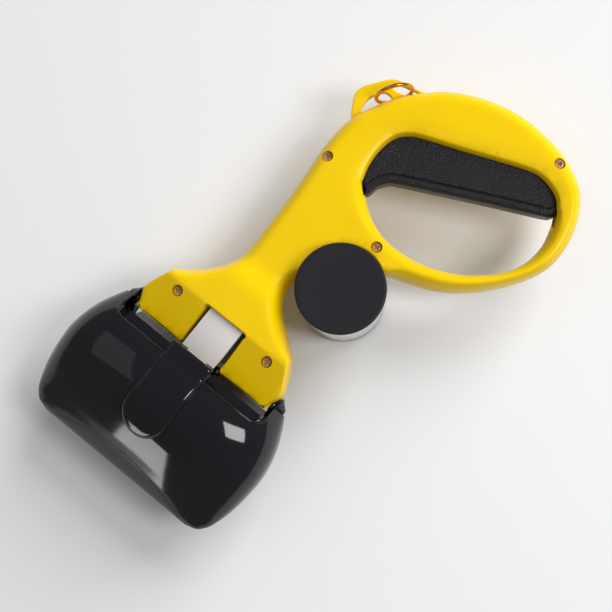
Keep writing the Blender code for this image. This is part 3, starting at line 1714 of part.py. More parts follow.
def make_key_ring(material):
    bm = bmesh.new()
    around, across = RING_AROUND, RING_ACROSS
    rings = []
    for i in range(around):
        a = 2 * math.pi * i / around
        ring = []
        for j in range(across):
            b = 2 * math.pi * j / across
            reach = RING_RADIUS + RING_WIRE * math.cos(b)
            ring.append(
                bm.verts.new((reach * math.cos(a), reach * math.sin(a), RING_WIRE * math.sin(b)))
            )
        rings.append(ring)
    for i in range(around):
        here, there = rings[i], rings[(i + 1) % around]
        for j in range(across):
            k = (j + 1) % across
            bm.faces.new((here[j], there[j], there[k], here[k]))
    turn_outwards(bm, bm.faces[:])
    turn = Matrix.Rotation(RING_YAW, 4, "Z") @ Matrix.Rotation(RING_TILT, 4, "X")
    bmesh.ops.transform(bm, matrix=Matrix.Translation(RING_CENTRE) @ turn, verts=bm.verts)
    return make_object("key_ring", bm, material, RING_CENTRE, smooth=RING_SOFT_ANGLE)


# The whole tool


def stand_on_floor(tool):
    """Moves the empty so that the middle of the tool's box is over the origin, on the floor."""
    bpy.context.view_layer.update()
    graph = bpy.context.evaluated_depsgraph_get()
    points = []
    for obj in bpy.data.objects:
        if obj.type in ("MESH", "CURVE") and not obj.hide_render:
            evaluated = obj.evaluated_get(graph)
            points += [evaluated.matrix_world @ v.co for v in evaluated.to_mesh().vertices]
            evaluated.to_mesh_clear()
    low = Vector(min(p[i] for p in points) for i in range(3))
    high = Vector(max(p[i] for p in points) for i in range(3))
    tool.location = (-(low.x + high.x) / 2, -(low.y + high.y) / 2, -low.z)
    print("tool origin", [round(v, 5) for v in tool.location])
    print("size", [round(v, 4) for v in high - low])


def main():
    clear_scene()
    yellow = finish("yellow_body", YELLOW, 0.32)
    jaw_black = finish("glossy_black", JAW_BLACK, 0.12)
    trigger_black = finish("matt_black", TRIGGER_BLACK, 0.55)
    cap_black = finish("satin_black", CAP_BLACK, 0.42)
    white = finish("white_nylon", PULL_WHITE, 0.50)
    chrome = finish("chrome", CHROME, 0.12, 1.0)
    steel = finish("steel", STEEL, 0.30, 1.0)
    copper = finish("copper_plate", COPPER, 0.32, 1.0)
    gold = finish("gold_plate", GOLD, 0.22, 1.0)
    bag = finish("bag_film", BAG_GREEN, 0.45)
    card = finish("card", CARD, 0.85)

    make_shell("front_shell", True, yellow)
    make_shell("rear_shell", False, yellow)
    make_case_screws(copper)
    make_jaw("upper_jaw", 1, jaw_black)
    make_jaw("lower_jaw", -1, jaw_black)
    make_hinge_pins(steel)
    make_pull_yoke(white)
    make_drive_pins(steel)
    make_return_spring(steel)
    make_trigger(trigger_black)
    make_trigger_pins(steel)
    make_dispenser(chrome, cap_black, bag, card)
    make_key_ring(gold)

    tool = bpy.data.objects.new("tool", None)
    bpy.context.collection.objects.link(tool)
    for obj in bpy.data.objects:
        if obj is not tool and obj.parent is None:
            obj.parent = tool
    stand_on_floor(tool)


if __name__ == "__main__":
    main()
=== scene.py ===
"""Looks of a one-hand clamshell pooper scooper that lies flat on its side, for Blender 4.5.

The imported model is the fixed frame. Every mesh is built in the tool frame, whose origin is on the
axis of the jaws' hinge, +X along the neck towards the handle, +Y across the tool and +Z away from
the floor, and is then moved to the row frame in its vertices. Metres throughout.
"""

from __future__ import annotations

import json
import logging
import math
from collections.abc import Callable, Iterable, Sequence
from dataclasses import dataclass
from enum import Enum

import bmesh
import bpy
import numpy as np
from mathutils import Matrix, Vector
from mathutils.geometry import delaunay_2d_cdt

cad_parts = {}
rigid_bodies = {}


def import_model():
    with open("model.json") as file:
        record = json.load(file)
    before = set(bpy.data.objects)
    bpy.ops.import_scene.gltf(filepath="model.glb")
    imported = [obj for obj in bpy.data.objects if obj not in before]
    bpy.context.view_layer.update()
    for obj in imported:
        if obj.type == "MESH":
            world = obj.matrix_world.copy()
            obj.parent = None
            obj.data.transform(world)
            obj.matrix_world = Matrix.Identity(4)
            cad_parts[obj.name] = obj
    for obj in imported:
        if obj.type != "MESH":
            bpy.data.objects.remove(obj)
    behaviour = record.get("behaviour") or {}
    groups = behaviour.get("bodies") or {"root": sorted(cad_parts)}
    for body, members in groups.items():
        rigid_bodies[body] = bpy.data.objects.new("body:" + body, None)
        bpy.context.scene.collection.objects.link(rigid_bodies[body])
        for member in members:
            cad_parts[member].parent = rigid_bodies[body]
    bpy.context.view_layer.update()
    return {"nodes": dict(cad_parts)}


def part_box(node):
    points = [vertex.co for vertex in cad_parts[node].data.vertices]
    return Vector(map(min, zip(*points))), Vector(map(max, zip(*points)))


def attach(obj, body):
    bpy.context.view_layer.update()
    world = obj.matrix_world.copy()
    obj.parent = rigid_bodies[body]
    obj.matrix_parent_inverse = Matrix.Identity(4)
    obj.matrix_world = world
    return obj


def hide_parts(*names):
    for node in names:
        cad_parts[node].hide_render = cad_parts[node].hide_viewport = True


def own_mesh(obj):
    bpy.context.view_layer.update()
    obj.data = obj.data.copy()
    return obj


LOG = logging.getLogger("scooper")

Point = tuple[float, float]
Place = tuple[float, float, float]
Path = list[Point]
Heights = Callable[[np.ndarray, np.ndarray], np.ndarray]

# Clearances and other small distances

GAP = 0.0003
PLAY = 0.0004
WALL = 0.0022
OVERRUN = 0.002
WELD = 0.000001

# Turns, and the two sides of the tool

FULL_TURN = 2 * math.pi
HALF_TURN = math.pi
QUARTER = math.pi / 2
SIDES = (-1, 1)

# Places and sizes that several sub-assemblies share, in the tool frame

HEAD_SIDE = 0.0466
CRANK = 0.0129
TRAVEL = 0.0120
PIN_RADIUS = 0.0020
DRIVE_RADIUS = 0.0019
TRIGGER_PIVOT = (0.190503, -0.098504)
TRIGGER_DRIVE = (0.1140, -0.0065)
DISPENSER_PLACE = (0.0724, -0.0384)
SECOND_TAB_TURN = math.radians(88)
SCREW_SINK = 0.0039

# The least distance between the points of a ring, as a share of the outline's step

RING_SPACING = 0.7


class Join(Enum):
    """What a helper solid does to a piece."""

    CUT = "DIFFERENCE"
    ADD = "UNION"


class Side(Enum):
    """Which half of the tool a piece belongs to, as the sign of its height."""

    UPPER = 1
    LOWER = -1


# Node trees


class Value:
    """An output socket that holds a number, with the arithmetic that the finishes use."""

    def __init__(self, shader: Shader, socket: bpy.types.NodeSocket) -> None:
        """Wraps a socket of a shader's node tree."""
        self.shader = shader
        self.socket = socket

    def _with(self, operation: str, *others: Value | float, swap: bool = False) -> Value:
        """Adds one Math node on this value and the others.

        Args:
            operation: the node's operation.
            others: the other terms.
            swap: whether the order of the terms is turned round.

        Returns:
            The result.
        """
        terms = [self, *others]
        if swap:
            terms.reverse()
        node = self.shader.node("ShaderNodeMath", {"operation": operation}, dict(enumerate(terms)))
        return Value(self.shader, node.outputs[0])

    def __add__(self, other: Value | float) -> Value:
        """This plus other."""
        return self._with("ADD", other)

    __radd__ = __add__

    def __sub__(self, other: Value | float) -> Value:
        """This minus other."""
        return self._with("SUBTRACT", other)

    def __rsub__(self, other: Value | float) -> Value:
        """Other minus this."""
        return self._with("SUBTRACT", other, swap=True)

    def __mul__(self, other: Value | float) -> Value:
        """This times other."""
        return self._with("MULTIPLY", other)

    __rmul__ = __mul__

    def ramp(self, low: float, high: float) -> Value:
        """A smooth step from 0 at low to 1 at high."""
        node = self.shader.node(
            "ShaderNodeMapRange",
            {"interpolation_type": "SMOOTHSTEP"},
            {"Value": self, "From Min": low, "From Max": high},
        )
        return Value(self.shader, node.outputs["Result"])


class Nodes:
    """A node tree, of a material or of Geometry Nodes."""

    def __init__(self, tree: bpy.types.NodeTree) -> None:
        """Keeps the tree."""
        self.tree = tree

    def node(self, kind: str, settings: dict, values: dict) -> bpy.types.Node:
        """Adds one node.

        Args:
            kind: the node's type.
            settings: its properties, set first.
            values: its inputs, by name or index, as numbers, colours, sockets or Values.

        Returns:
            The node.
        """
        made = self.tree.nodes.new(kind)
        for name, value in settings.items():
            setattr(made, name, value)
        for key, value in values.items():
            self.feed(made.inputs[key], value)
        return made

    def feed(self, socket: bpy.types.NodeSocket, value: object) -> None:
        """Sets a socket to a constant, or links it."""
        if isinstance(value, Value):
            value = value.socket
        if isinstance(value, bpy.types.NodeSocket):
            self.tree.links.new(value, socket)
        else:
            socket.default_value = value


class Shader(Nodes):
    """The node tree of one material."""

    def __init__(self, name: str) -> None:
        """Makes the material with its Principled shader and its object coordinates.

        Args:
            name: the material's name.
        """
        self.material = bpy.data.materials.new(name)
        self.material.use_nodes = True
        super().__init__(self.material.node_tree)
        self.surface = self.tree.nodes["Principled BSDF"]
        self.place = self.node("ShaderNodeTexCoord", {}, {}).outputs["Object"]

    def noise(self, scale: float, detail: float = 2.0, stretch: Place = (1.0, 1.0, 1.0)) -> Value:
        """Noise from 0 to 1.

        Args:
            scale: how many blobs a metre holds.
            detail: how many finer layers lie over them.
            stretch: shares of the scale along the three axes.

        Returns:
            The noise.
        """
        place = self.node("ShaderNodeMapping", {}, {"Vector": self.place, "Scale": stretch})
        made = self.node(
            "ShaderNodeTexNoise", {},
            {"Vector": place.outputs[0], "Scale": scale, "Detail": detail},
        )
        return Value(self, made.outputs[0])

    def grains(self, scale: float) -> Value:
        """Distance to the nearest of many scattered points, so many in a metre."""
        made = self.node("ShaderNodeTexVoronoi", {}, {"Vector": self.place, "Scale": scale})
        return Value(self, made.outputs["Distance"])

    def blend(self, share: Value, low: Sequence[float], high: object) -> bpy.types.NodeSocket:
        """The colour between two, by a share from 0 to 1."""
        made = self.node(
            "ShaderNodeMix", {"data_type": "RGBA"}, {"Factor": share, 6: low, 7: high}
        )
        return made.outputs[2]

    def bump(self, height: Value, depth: float, strength: float = 1.0) -> None:
        """Lets a height from 0 to 1 shape the normal, over a depth in metres."""
        made = self.node(
            "ShaderNodeBump", {}, {"Height": height, "Distance": depth, "Strength": strength}
        )
        self.feed(self.surface.inputs["Normal"], made.outputs[0])

    def dress(self, **values: object) -> None:
        """Feeds the Principled shader, with an underscore for a space in a socket's name."""
        for name, value in values.items():
            self.feed(self.surface.inputs[name.replace("_", " ")], value)


Colour = tuple[float, float, float, float]


@dataclass(frozen=True)
class MouldedPlastic:
    """A moulded plastic: its colour with slow mottling, a fine grain and handling marks."""

    name: str
    slot: str
    colour: Colour
    shade: Colour
    roughness: float
    spread: float
    grain: float
    grain_depth: float
    scuffs: float = 0.0
    specular: float = 0.5

    mottles = 22.0
    clouds = 110.0
    strokes = 900.0
    stroke_stretch = (0.15, 1.0, 1.0)
    stroke_range = (0.62, 0.80)
    mottle_range = (0.30, 0.75)
    mottle_share = 0.7

    def material(self) -> bpy.types.Material:
        """Builds the material.

        Returns:
            The material.
        """
        shader = Shader(self.name)
        cloud = shader.noise(self.clouds, 4.0)
        mottle = shader.noise(self.mottles, 3.0).ramp(*self.mottle_range)
        worn = shader.noise(self.strokes, 2.0, self.stroke_stretch).ramp(*self.stroke_range)
        share = mottle * self.mottle_share + cloud * (1 - self.mottle_share)
        shader.dress(
            Base_Color=shader.blend(share, self.colour, self.shade),
            Roughness=self.roughness + (cloud - 0.5) * self.spread + worn * self.scuffs,
            Specular_IOR_Level=self.specular,
        )
        shader.bump(shader.grains(self.grain), self.grain_depth)
        return shader.material


@dataclass(frozen=True)
class Metal:
    """A metal finish: its colour, with drawn streaks or polish, and faint tarnish."""

    name: str
    slot: str
    colour: Colour
    shade: Colour
    roughness: float
    streaks: Place
    streak_scale: float
    streak_depth: float
    metallic: float = 1.0

    tarnishes = 160.0
    tarnish_range = (0.45, 0.75)

    def material(self) -> bpy.types.Material:
        """Builds the material.

        Returns:
            The material.
        """
        shader = Shader(self.name)
        streak = shader.noise(self.streak_scale, 3.0, self.streaks)
        tarnish = shader.noise(self.tarnishes, 3.0).ramp(*self.tarnish_range)
        shader.dress(
            Base_Color=shader.blend(tarnish, self.colour, self.shade),
            Metallic=self.metallic,
            Roughness=self.roughness + streak * self.roughness * 0.5,
        )
        shader.bump(streak, self.streak_depth)
        return shader.material


@dataclass(frozen=True)
class Layered:
    """Rolled film or wound card: thin layers seen at the ends, and a soft sheen."""

    name: str
    slot: str
    colour: Colour
    shade: Colour
    roughness: float
    layers: float

    layer_stretch = (1.0, 1.0, 0.08)
    crease_range = (0.3, 0.7)
    crease_roughness = 0.15
    crease_depth = 0.0004

    def material(self) -> bpy.types.Material:
        """Builds the material.

        Returns:
            The material.
        """
        shader = Shader(self.name)
        crease = shader.noise(self.layers, 4.0, self.layer_stretch)
        shader.dress(
            Base_Color=shader.blend(crease.ramp(*self.crease_range), self.colour, self.shade),
            Roughness=self.roughness + crease * self.crease_roughness,
        )
        shader.bump(crease, self.crease_depth)
        return shader.material


Finish = MouldedPlastic | Metal | Layered

BODY_YELLOW = MouldedPlastic(
    "body_yellow", "yellow_body", (0.870, 0.585, 0.000, 1), (0.840, 0.545, 0.000, 1),
    0.30, 0.05, 2600.0, 0.000004, scuffs=0.04, specular=0.28,
)
JAW_BLACK = MouldedPlastic(
    "jaw_black", "glossy_black", (0.0056, 0.0051, 0.0076, 1), (0.0076, 0.0070, 0.0098, 1),
    0.07, 0.02, 700.0, 0.000001, scuffs=0.06,
)
TRIGGER_BLACK = MouldedPlastic(
    "trigger_black", "matt_black", (0.0058, 0.0058, 0.0085, 1), (0.0082, 0.0082, 0.0112, 1),
    0.36, 0.08, 1300.0, 0.00030, specular=0.40,
)
CAP_BLACK = MouldedPlastic(
    "cap_black", "satin_black", (0.0130, 0.0133, 0.0165, 1), (0.0150, 0.0154, 0.0188, 1),
    0.46, 0.06, 3200.0, 0.00003, specular=0.35,
)
PULL_WHITE = MouldedPlastic(
    "pull_white", "white_nylon", (0.640, 0.600, 0.575, 1), (0.600, 0.555, 0.530, 1),
    0.45, 0.08, 1800.0, 0.00002,
)
CHROME = Metal(
    "chrome_tube", "chrome", (0.78, 0.78, 0.79, 1), (0.70, 0.70, 0.71, 1),
    0.10, (0.05, 0.05, 1.0), 900.0, 0.00001,
)
STEEL = Metal(
    "pin_steel", "steel", (0.52, 0.52, 0.53, 1), (0.40, 0.39, 0.38, 1),
    0.26, (1.0, 1.0, 1.0), 900.0, 0.00003,
)
COPPER = Metal(
    "screw_copper", "copper_plate", (0.72, 0.47, 0.34, 1), (0.55, 0.32, 0.21, 1),
    0.24, (1.0, 1.0, 1.0), 1400.0, 0.00002, metallic=0.60,
)
GOLD = Metal(
    "ring_gold", "gold_plate", (0.84, 0.40, 0.04, 1), (0.70, 0.28, 0.02, 1),
    0.16, (1.0, 1.0, 1.0), 800.0, 0.00002, metallic=0.88,
)
BAG_FILM = Layered(
    "bag_green", "bag_film", (0.10, 0.28, 0.14, 1), (0.06, 0.20, 0.10, 1), 0.35, 900.0
)
CARD = Layered("core_card", "card", (0.42, 0.30, 0.18, 1), (0.34, 0.23, 0.13, 1), 0.80, 1300.0)


# Plane geometry


def scaled(shares: Iterable[Point], size: float, origin: Point = (0.0, 0.0)) -> Path:
    """Shares of a size as points round an origin."""
    return [(origin[0] + size * x, origin[1] + size * y) for x, y in shares]


def smooth_path(points: Sequence[Sequence[float]], step: float) -> Path:
    """Points on a Catmull-Rom curve, ends kept.

    Args:
        points: the places that the curve goes through.
        step: about how far apart the points lie.

    Returns:
        The points.
    """
    knots = [Vector(p) for p in points]
    knots = [2 * knots[0] - knots[1], *knots, 2 * knots[-1] - knots[-2]]
    path = []
    for a, b, c, d in zip(knots, knots[1:], knots[2:], knots[3:]):
        count = max(1, round((c - b).length / step))
        for i in range(count):
            t = i / count
            path.append(
                0.5 * (2 * b + (c - a) * t + (2 * a - 5 * b + 4 * c - d) * t * t
                       + (3 * b - a - 3 * c + d) * t ** 3)
            )
    path.append(knots[-2])
    return [tuple(p) for p in path]


def straight_path(start: Point, end: Point, step: float) -> Path:
    """Points about one step apart on a straight line."""
    count = max(1, round(math.dist(start, end) / step))
    return [
        (start[0] + (end[0] - start[0]) * i / count, start[1] + (end[1] - start[1]) * i / count)
        for i in range(count + 1)
    ]


def relaxed(path: Path, passes: int) -> Path:
    """The path with its small kinks averaged out, its ends kept.

    Args:
        path: the path.
        passes: how often it is averaged.

    Returns:
        The new path.
    """
    points = np.array(path)
    for _ in range(passes):
        points[1:-1] = (points[:-2] + 2 * points[1:-1] + points[2:]) / 4
    return [tuple(point) for point in points]


def arc_path(centre: Point, radius: float, start: float, end: float, step: float) -> Path:
    """Points on an arc between two angles.

    Args:
        centre: the arc's centre.
        radius: its radius.
        start: the angle of its start.
        end: the angle of its end.
        step: about how far apart the points lie.

    Returns:
        The points.
    """
    count = max(2, round(abs(end - start) * radius / step))
    angles = [start + (end - start) * i / count for i in range(count + 1)]
    return [(centre[0] + radius * math.cos(a), centre[1] + radius * math.sin(a)) for a in angles]


def eased(radii: Sequence[float], passes: int) -> np.ndarray:
    """Edge radii that change over several points instead of at one.

    Args:
        radii: the radii round a loop.
        passes: how often they ease.

    Returns:
        The eased radii.
    """
    values = np.array(radii, float)
    for _ in range(passes):
        values = np.minimum(values, (np.roll(values, 1) + values + np.roll(values, -1)) / 3)
    return values


def tagged_loop(pieces: Iterable[tuple[Path, float]], passes: int = 12) -> tuple[Path, np.ndarray]:
    """Paths end to end as one loop, with the edge radius of each point.

    Args:
        pieces: the paths, each with its edge radius.
        passes: how often the radii ease.

    Returns:
        The loop's points and their edge radii.
    """
    points: Path = []
    radii: list[float] = []
    for path, radius in pieces:
        for point in path:
            if points and math.dist(point, points[-1]) < GAP:
                continue
            points.append(point)
            radii.append(radius)
    if math.dist(points[0], points[-1]) < GAP:
        points.pop()
        radii.pop()
    return points, eased(radii, passes)


def smoothstep(value: np.ndarray, low: float, high: float) -> np.ndarray:
    """A smooth step from 0 at low to 1 at high."""
    t = np.clip((value - low) / (high - low), 0.0, 1.0)
    return t * t * (3 - 2 * t)


def quarter_round(t: np.ndarray) -> np.ndarray:
    """Height of a quarter circle, from 0 at its foot to 1 from t = 1 on."""
    return np.sqrt(np.clip(1 - (1 - np.clip(t, 0.0, 1.0)) ** 2, 0.0, 1.0))


class Region:
    """A flat region between an outer loop and its holes, with an edge radius at each point."""

    touch = 0.96
    chunk = 1500
    least_fit = 0.3
    fit_step = 0.02
    fit_passes = 16
    ring_shares = (0.012, 0.045, 0.10, 0.17, 0.26, 0.37, 0.50, 0.64, 0.80, 1.0)

    def __init__(self, loops: Sequence[Path], radii: Sequence[np.ndarray]) -> None:
        """Keeps the loops and works out their edges.

        Args:
            loops: the outer loop and the holes.
            radii: the edge radius of each point of each loop.
        """
        self.loops = [np.array(loop) for loop in loops]
        self.radii = [np.array(r) for r in radii]
        self.starts = np.concatenate(self.loops)
        self.ends = np.concatenate([np.roll(loop, -1, axis=0) for loop in self.loops])
        self.edge = np.concatenate(self.radii)
        self.edge_end = np.concatenate([np.roll(r, -1) for r in self.radii])

    def _to_edges(self, points: np.ndarray) -> tuple[np.ndarray, np.ndarray]:
        """How far the places are from every edge.

        Args:
            points: the places, one in each row.

        Returns:
            The distance to each edge, and the edge radius nearest to the place.
        """
        run = self.ends - self.starts
        offset = points[:, None, :] - self.starts[None]
        t = (offset * run[None]).sum(axis=2) / (run * run).sum(axis=1)[None]
        t = np.clip(t, 0.0, 1.0)
        nearest = offset - t[..., None] * run[None]
        radius = self.edge[None] + t * (self.edge_end - self.edge)[None]
        return np.sqrt((nearest ** 2).sum(axis=2)), radius

    def distance(self, points: np.ndarray) -> np.ndarray:
        """Distance of each point to the nearest edge."""
        parts = np.array_split(points, max(1, len(points) // self.chunk))
        return np.concatenate([self._to_edges(part)[0].min(axis=1) for part in parts])

    def edge_share(self, points: np.ndarray) -> np.ndarray:
        """How far in each point lies, as a share of the edge radius near it.

        Args:
            points: the places, one in each row.

        Returns:
            The shares.
        """
        found = []
        for part in np.array_split(points, max(1, len(points) // self.chunk)):
            gap, radius = self._to_edges(part)
            share = (gap / radius).min(axis=1)
            share[gap.min(axis=1) < WELD] = 0.0
            found.append(share)
        return np.concatenate(found)

    def inside(self, points: np.ndarray) -> np.ndarray:
        """Whether each point lies in the region.

        Args:
            points: the places, one in each row.

        Returns:
            A mask over the places.
        """
        x, y = points[:, 0, None], points[:, 1, None]
        x0, y0 = self.starts[:, 0], self.starts[:, 1]
        x1, y1 = self.ends[:, 0], self.ends[:, 1]
        spans = (y0 > y) != (y1 > y)
        with np.errstate(divide="ignore", invalid="ignore"):
            crossing = x0 + (y - y0) * (x1 - x0) / (y1 - y0)
        return (spans & (x < crossing)).sum(axis=1) % 2 == 1

    def inwards(self, loop: np.ndarray) -> np.ndarray:
        """The unit normals at a loop's points, towards the inside of the region.

        Args:
            loop: one of the loops.

        Returns:
            The normals.
        """
        along = np.roll(loop, -1, axis=0) - np.roll(loop, 1, axis=0)
        normal = np.column_stack([-along[:, 1], along[:, 0]])
        normal /= np.linalg.norm(normal, axis=1)[:, None]
        is_inside = self.inside(loop + normal * GAP).mean() > 0.5
        return normal if is_inside else -normal

    def ring(self, loop: np.ndarray, depth: np.ndarray) -> tuple[np.ndarray, np.ndarray]:
        """A loop moved inwards.

        Args:
            loop: one of the loops.
            depth: how far each point moves.

        Returns:
            Which moved points still lie clear of the edges, and the moved points.
        """
        moved = loop + self.inwards(loop) * depth[:, None]
        keep = (self.distance(moved) > self.touch * depth) & self.inside(moved)
        return keep, moved

    def with_room(self) -> Region:
        """The same region, with each edge radius at most half of the width that it has there.

        Returns:
            The region.
        """
        radii = []
        for loop, radius in zip(self.loops, self.radii):
            normal = self.inwards(loop)
            fitting = radius.copy()
            for share in np.arange(1.0, self.least_fit - self.fit_step / 2, -self.fit_step):
                tight = self.distance(loop + normal * fitting[:, None]) < self.touch * fitting
                fitting[tight] = radius[tight] * share
            radii.append(eased(fitting, self.fit_passes))
        return Region(self.loops, radii)

    def inset(self, depth: float, crisp: float) -> Region:
        """The region inside a wall.

        Args:
            depth: the wall's depth.
            crisp: the least edge radius.

        Returns:
            The region, with the edge radii that the wall leaves.
        """
        loops, radii = [], []
        for loop, radius in zip(self.loops, self.radii):
            keep, moved = self.ring(loop, np.full(len(loop), depth))
            loops.append(moved[keep])
            radii.append(np.maximum(radius[keep] - depth, crisp))
        return Region(loops, radii)

    def points(
        self, shares: Sequence[float], least: float, field_step: float, extra: Path = ()
    ) -> np.ndarray:
        """Points that carry the surface: rings along the edges and a field inside.

        Args:
            shares: where the rings stand, as shares of the edge radius.
            least: the least distance between two points of one ring.
            field_step: the distance between the points inside.
            extra: more points, such as those of a ridge.

        Returns:
            The points, one in each row.
        """
        found: list[np.ndarray] = []
        for share in shares:
            for loop, radius in zip(self.loops, self.radii):
                keep, moved = self.ring(loop, radius * share)
                last = None
                for point in moved[keep]:
                    if last is None or np.linalg.norm(point - last) > least:
                        found.append(point)
                        last = point
        low, high = self.starts.min(axis=0), self.starts.max(axis=0)
        xs = np.arange(low[0], high[0], field_step)
        ys = np.arange(low[1], high[1], field_step)
        grid = np.array([(x + (j % 2) * field_step / 2, y) for x in xs for j, y in enumerate(ys)])
        grid = grid[self.inside(grid)]
        grid = grid[self.edge_share(grid) > 1.0 + field_step / 4 / self.edge.max()]
        found.extend(grid)
        kept = np.array(extra, float).reshape(-1, 2)
        if len(kept):
            kept = kept[self.inside(kept)]
            found.extend(kept[self.distance(kept) > least])
        return np.array(found)


def solid_between(
    region: Region,
    inner: np.ndarray,
    top: Heights,
    bottom: Heights,
) -> bmesh.types.BMesh:
    """A closed solid over a region, between two height functions.

    Args:
        region: the plan.
        inner: points inside it that carry the surface.
        top: upper height, from points and their edge shares.
        bottom: lower height, in the same way.

    Returns:
        The solid, facing outwards.
    """
    verts = [Vector(p) for p in region.starts]
    edges = []
    first = 0
    for loop in region.loops:
        count = len(loop)
        edges += [(first + i, first + (i + 1) % count) for i in range(count)]
        first += count
    verts += [Vector(p) for p in inner]
    flat, _, faces, _, _, _ = delaunay_2d_cdt(verts, edges, [], 0, WELD)
    flat = np.array([(v.x, v.y) for v in flat])
    faces = np.array([list(f) for f in faces])
    faces = faces[region.inside(flat[faces].mean(axis=1))]
    depth = region.edge_share(flat)
    heights, depths = top(flat, depth), bottom(flat, depth)
    bm = bmesh.new()
    upper = [bm.verts.new((x, y, z)) for (x, y), z in zip(flat, heights)]
    lower = []
    for i, ((x, y), z) in enumerate(zip(flat, depths)):
        shared = depth[i] <= 0.0 and abs(heights[i] - z) < WELD
        lower.append(upper[i] if shared else bm.verts.new((x, y, z)))
    rim: dict[tuple[int, int], bool] = {}
    for a, b, c in faces.tolist():
        bm.faces.new((upper[a], upper[b], upper[c]))
        if not (upper[a] is lower[a] and upper[b] is lower[b] and upper[c] is lower[c]):
            bm.faces.new((lower[c], lower[b], lower[a]))
        for edge in ((a, b), (b, c), (c, a)):
            if edge[::-1] in rim:
                del rim[edge[::-1]]
            else:
                rim[edge] = True
    for a, b in rim:
        corners = list(dict.fromkeys([upper[b], upper[a], lower[a], lower[b]]))
        if len(corners) > 2:
            bm.faces.new(corners)
    loose = [v for v in bm.verts if not v.link_faces]
    bmesh.ops.delete(bm, geom=loose, context="VERTS")
    turn_outwards(bm, bm.faces[:])
    return bm


def level(height: float) -> Heights:
    """A height function of one height."""
    return lambda flat, depth: np.full(len(flat), height)


# Solids


def turn_outwards(bm: bmesh.types.BMesh, faces: Sequence[bmesh.types.BMFace]) -> None:
    """Makes the faces of one closed body point outwards.

    Args:
        bm: the mesh.
        faces: the body's faces.
    """
    bmesh.ops.recalc_face_normals(bm, faces=faces)
    volume = 0.0
    for face in faces:
        corners = [v.co for v in face.verts]
        for b, c in zip(corners[1:], corners[2:]):
            volume += corners[0].dot(b.cross(c))
    if volume < 0:
        bmesh.ops.reverse_faces(bm, faces=faces)


def add_box(bm: bmesh.types.BMesh, low: Sequence[float], high: Sequence[float]) -> list:
    """Adds a box between two corners.

    Args:
        bm: the mesh.
        low: the lower corner.
        high: the upper corner.

    Returns:
        Its vertices.
    """
    made = bmesh.ops.create_cube(bm, size=1.0)["verts"]
    for vert in made:
        vert.co = Vector(low[i] + (high[i] - low[i]) * (vert.co[i] + 0.5) for i in range(3))
    return made


def add_cylinder(
    bm: bmesh.types.BMesh,
    start: Sequence[float],
    end: Sequence[float],
    radius: float,
    sides: int = 40,
) -> list:
    """Adds a cylinder between two points.

    Args:
        bm: the mesh.
        start: the middle of one end.
        end: the middle of the other.
        radius: its radius.
        sides: the number of its sides.

    Returns:
        Its vertices.
    """
    run = Vector(end) - Vector(start)
    turn = run.to_track_quat("Z", "Y").to_matrix().to_4x4()
    place = Matrix.Translation((Vector(start) + Vector(end)) / 2) @ turn
    return bmesh.ops.create_cone(
        bm, cap_ends=True, segments=sides, radius1=radius, radius2=radius,
        depth=run.length, matrix=place,
    )["verts"]


def end_edges(verts: Sequence[bmesh.types.BMVert], limit: float) -> list:
    """The edges between the given vertices that lie further out than a place along Y."""
    beyond = {v for v in verts if abs(v.co.y) > limit}
    return [e for e in {e for v in beyond for e in v.link_edges} if set(e.verts) <= beyond]


def span(side: int, near: float, far: float) -> Point:
    """The lower and the upper end of a stretch on one side of the middle."""
    return min(side * near, side * far), max(side * near, side * far)


def bridge(
    bm: bmesh.types.BMesh, near: Sequence, far: Sequence, is_closed: bool = True
) -> list:
    """Adds the faces between two rows of vertices.

    Args:
        bm: the mesh.
        near: the first row.
        far: the second row, as long as the first.
        is_closed: whether each row is a ring.

    Returns:
        The faces.
    """
    count = len(near)
    return [
        bm.faces.new((near[i], near[(i + 1) % count], far[(i + 1) % count], far[i]))
        for i in range(count if is_closed else count - 1)
    ]


def add_prism(bm: bmesh.types.BMesh, outline: Path, low: float, high: float) -> list:
    """Adds a prism over an outline.

    Args:
        bm: the mesh.
        outline: its plan.
        low: the height of its underside.
        high: the height of its top.

    Returns:
        Its faces.
    """
    under = [bm.verts.new((x, y, low)) for x, y in outline]
    over = [bm.verts.new((x, y, high)) for x, y in outline]
    faces = [bm.faces.new(over), bm.faces.new(under[::-1]), *bridge(bm, under, over)]
    turn_outwards(bm, faces)
    return faces


def add_side_prism(
    bm: bmesh.types.BMesh, outline: Path, low: float, high: float, sign: int
) -> None:
    """Adds a prism across the tool, from an outline in the plane XZ.

    Args:
        bm: the mesh.
        outline: its points, as (x, height).
        low: where it starts along Y.
        high: where it ends.
        sign: -1 to turn its heights over, and else 1.
    """
    faces = add_prism(bm, outline, low, high)
    for vert in {v for face in faces for v in face.verts}:
        x, z, y = vert.co
        vert.co = (x, y, sign * z)
    turn_outwards(bm, faces)


def add_turned(
    bm: bmesh.types.BMesh, profile: Sequence[Point], centre: Point, sides: int = 128
) -> None:
    """Adds a body turned round a vertical axis.

    Args:
        bm: the mesh.
        profile: its (radius, height) points.
        centre: where the axis stands.
        sides: the points round it.
    """
    rings = []
    for radius, height in profile:
        if radius < WELD:
            rings.append([bm.verts.new((centre[0], centre[1], height))])
            continue
        angles = [FULL_TURN * i / sides for i in range(sides)]
        ring = scaled([(math.cos(a), math.sin(a)) for a in angles], radius, centre)
        rings.append([bm.verts.new((x, y, height)) for x, y in ring])
    closed = profile[0][0] > WELD
    pairs = list(zip(rings, rings[1:])) + ([(rings[-1], rings[0])] if closed else [])
    faces = []
    for below, above in pairs:
        for i in range(sides):
            j = (i + 1) % sides
            corners = [
                below[i % len(below)], below[j % len(below)],
                above[j % len(above)], above[i % len(above)],
            ]
            corners = list(dict.fromkeys(corners))
            if len(corners) > 2:
                faces.append(bm.faces.new(corners))
    turn_outwards(bm, faces)


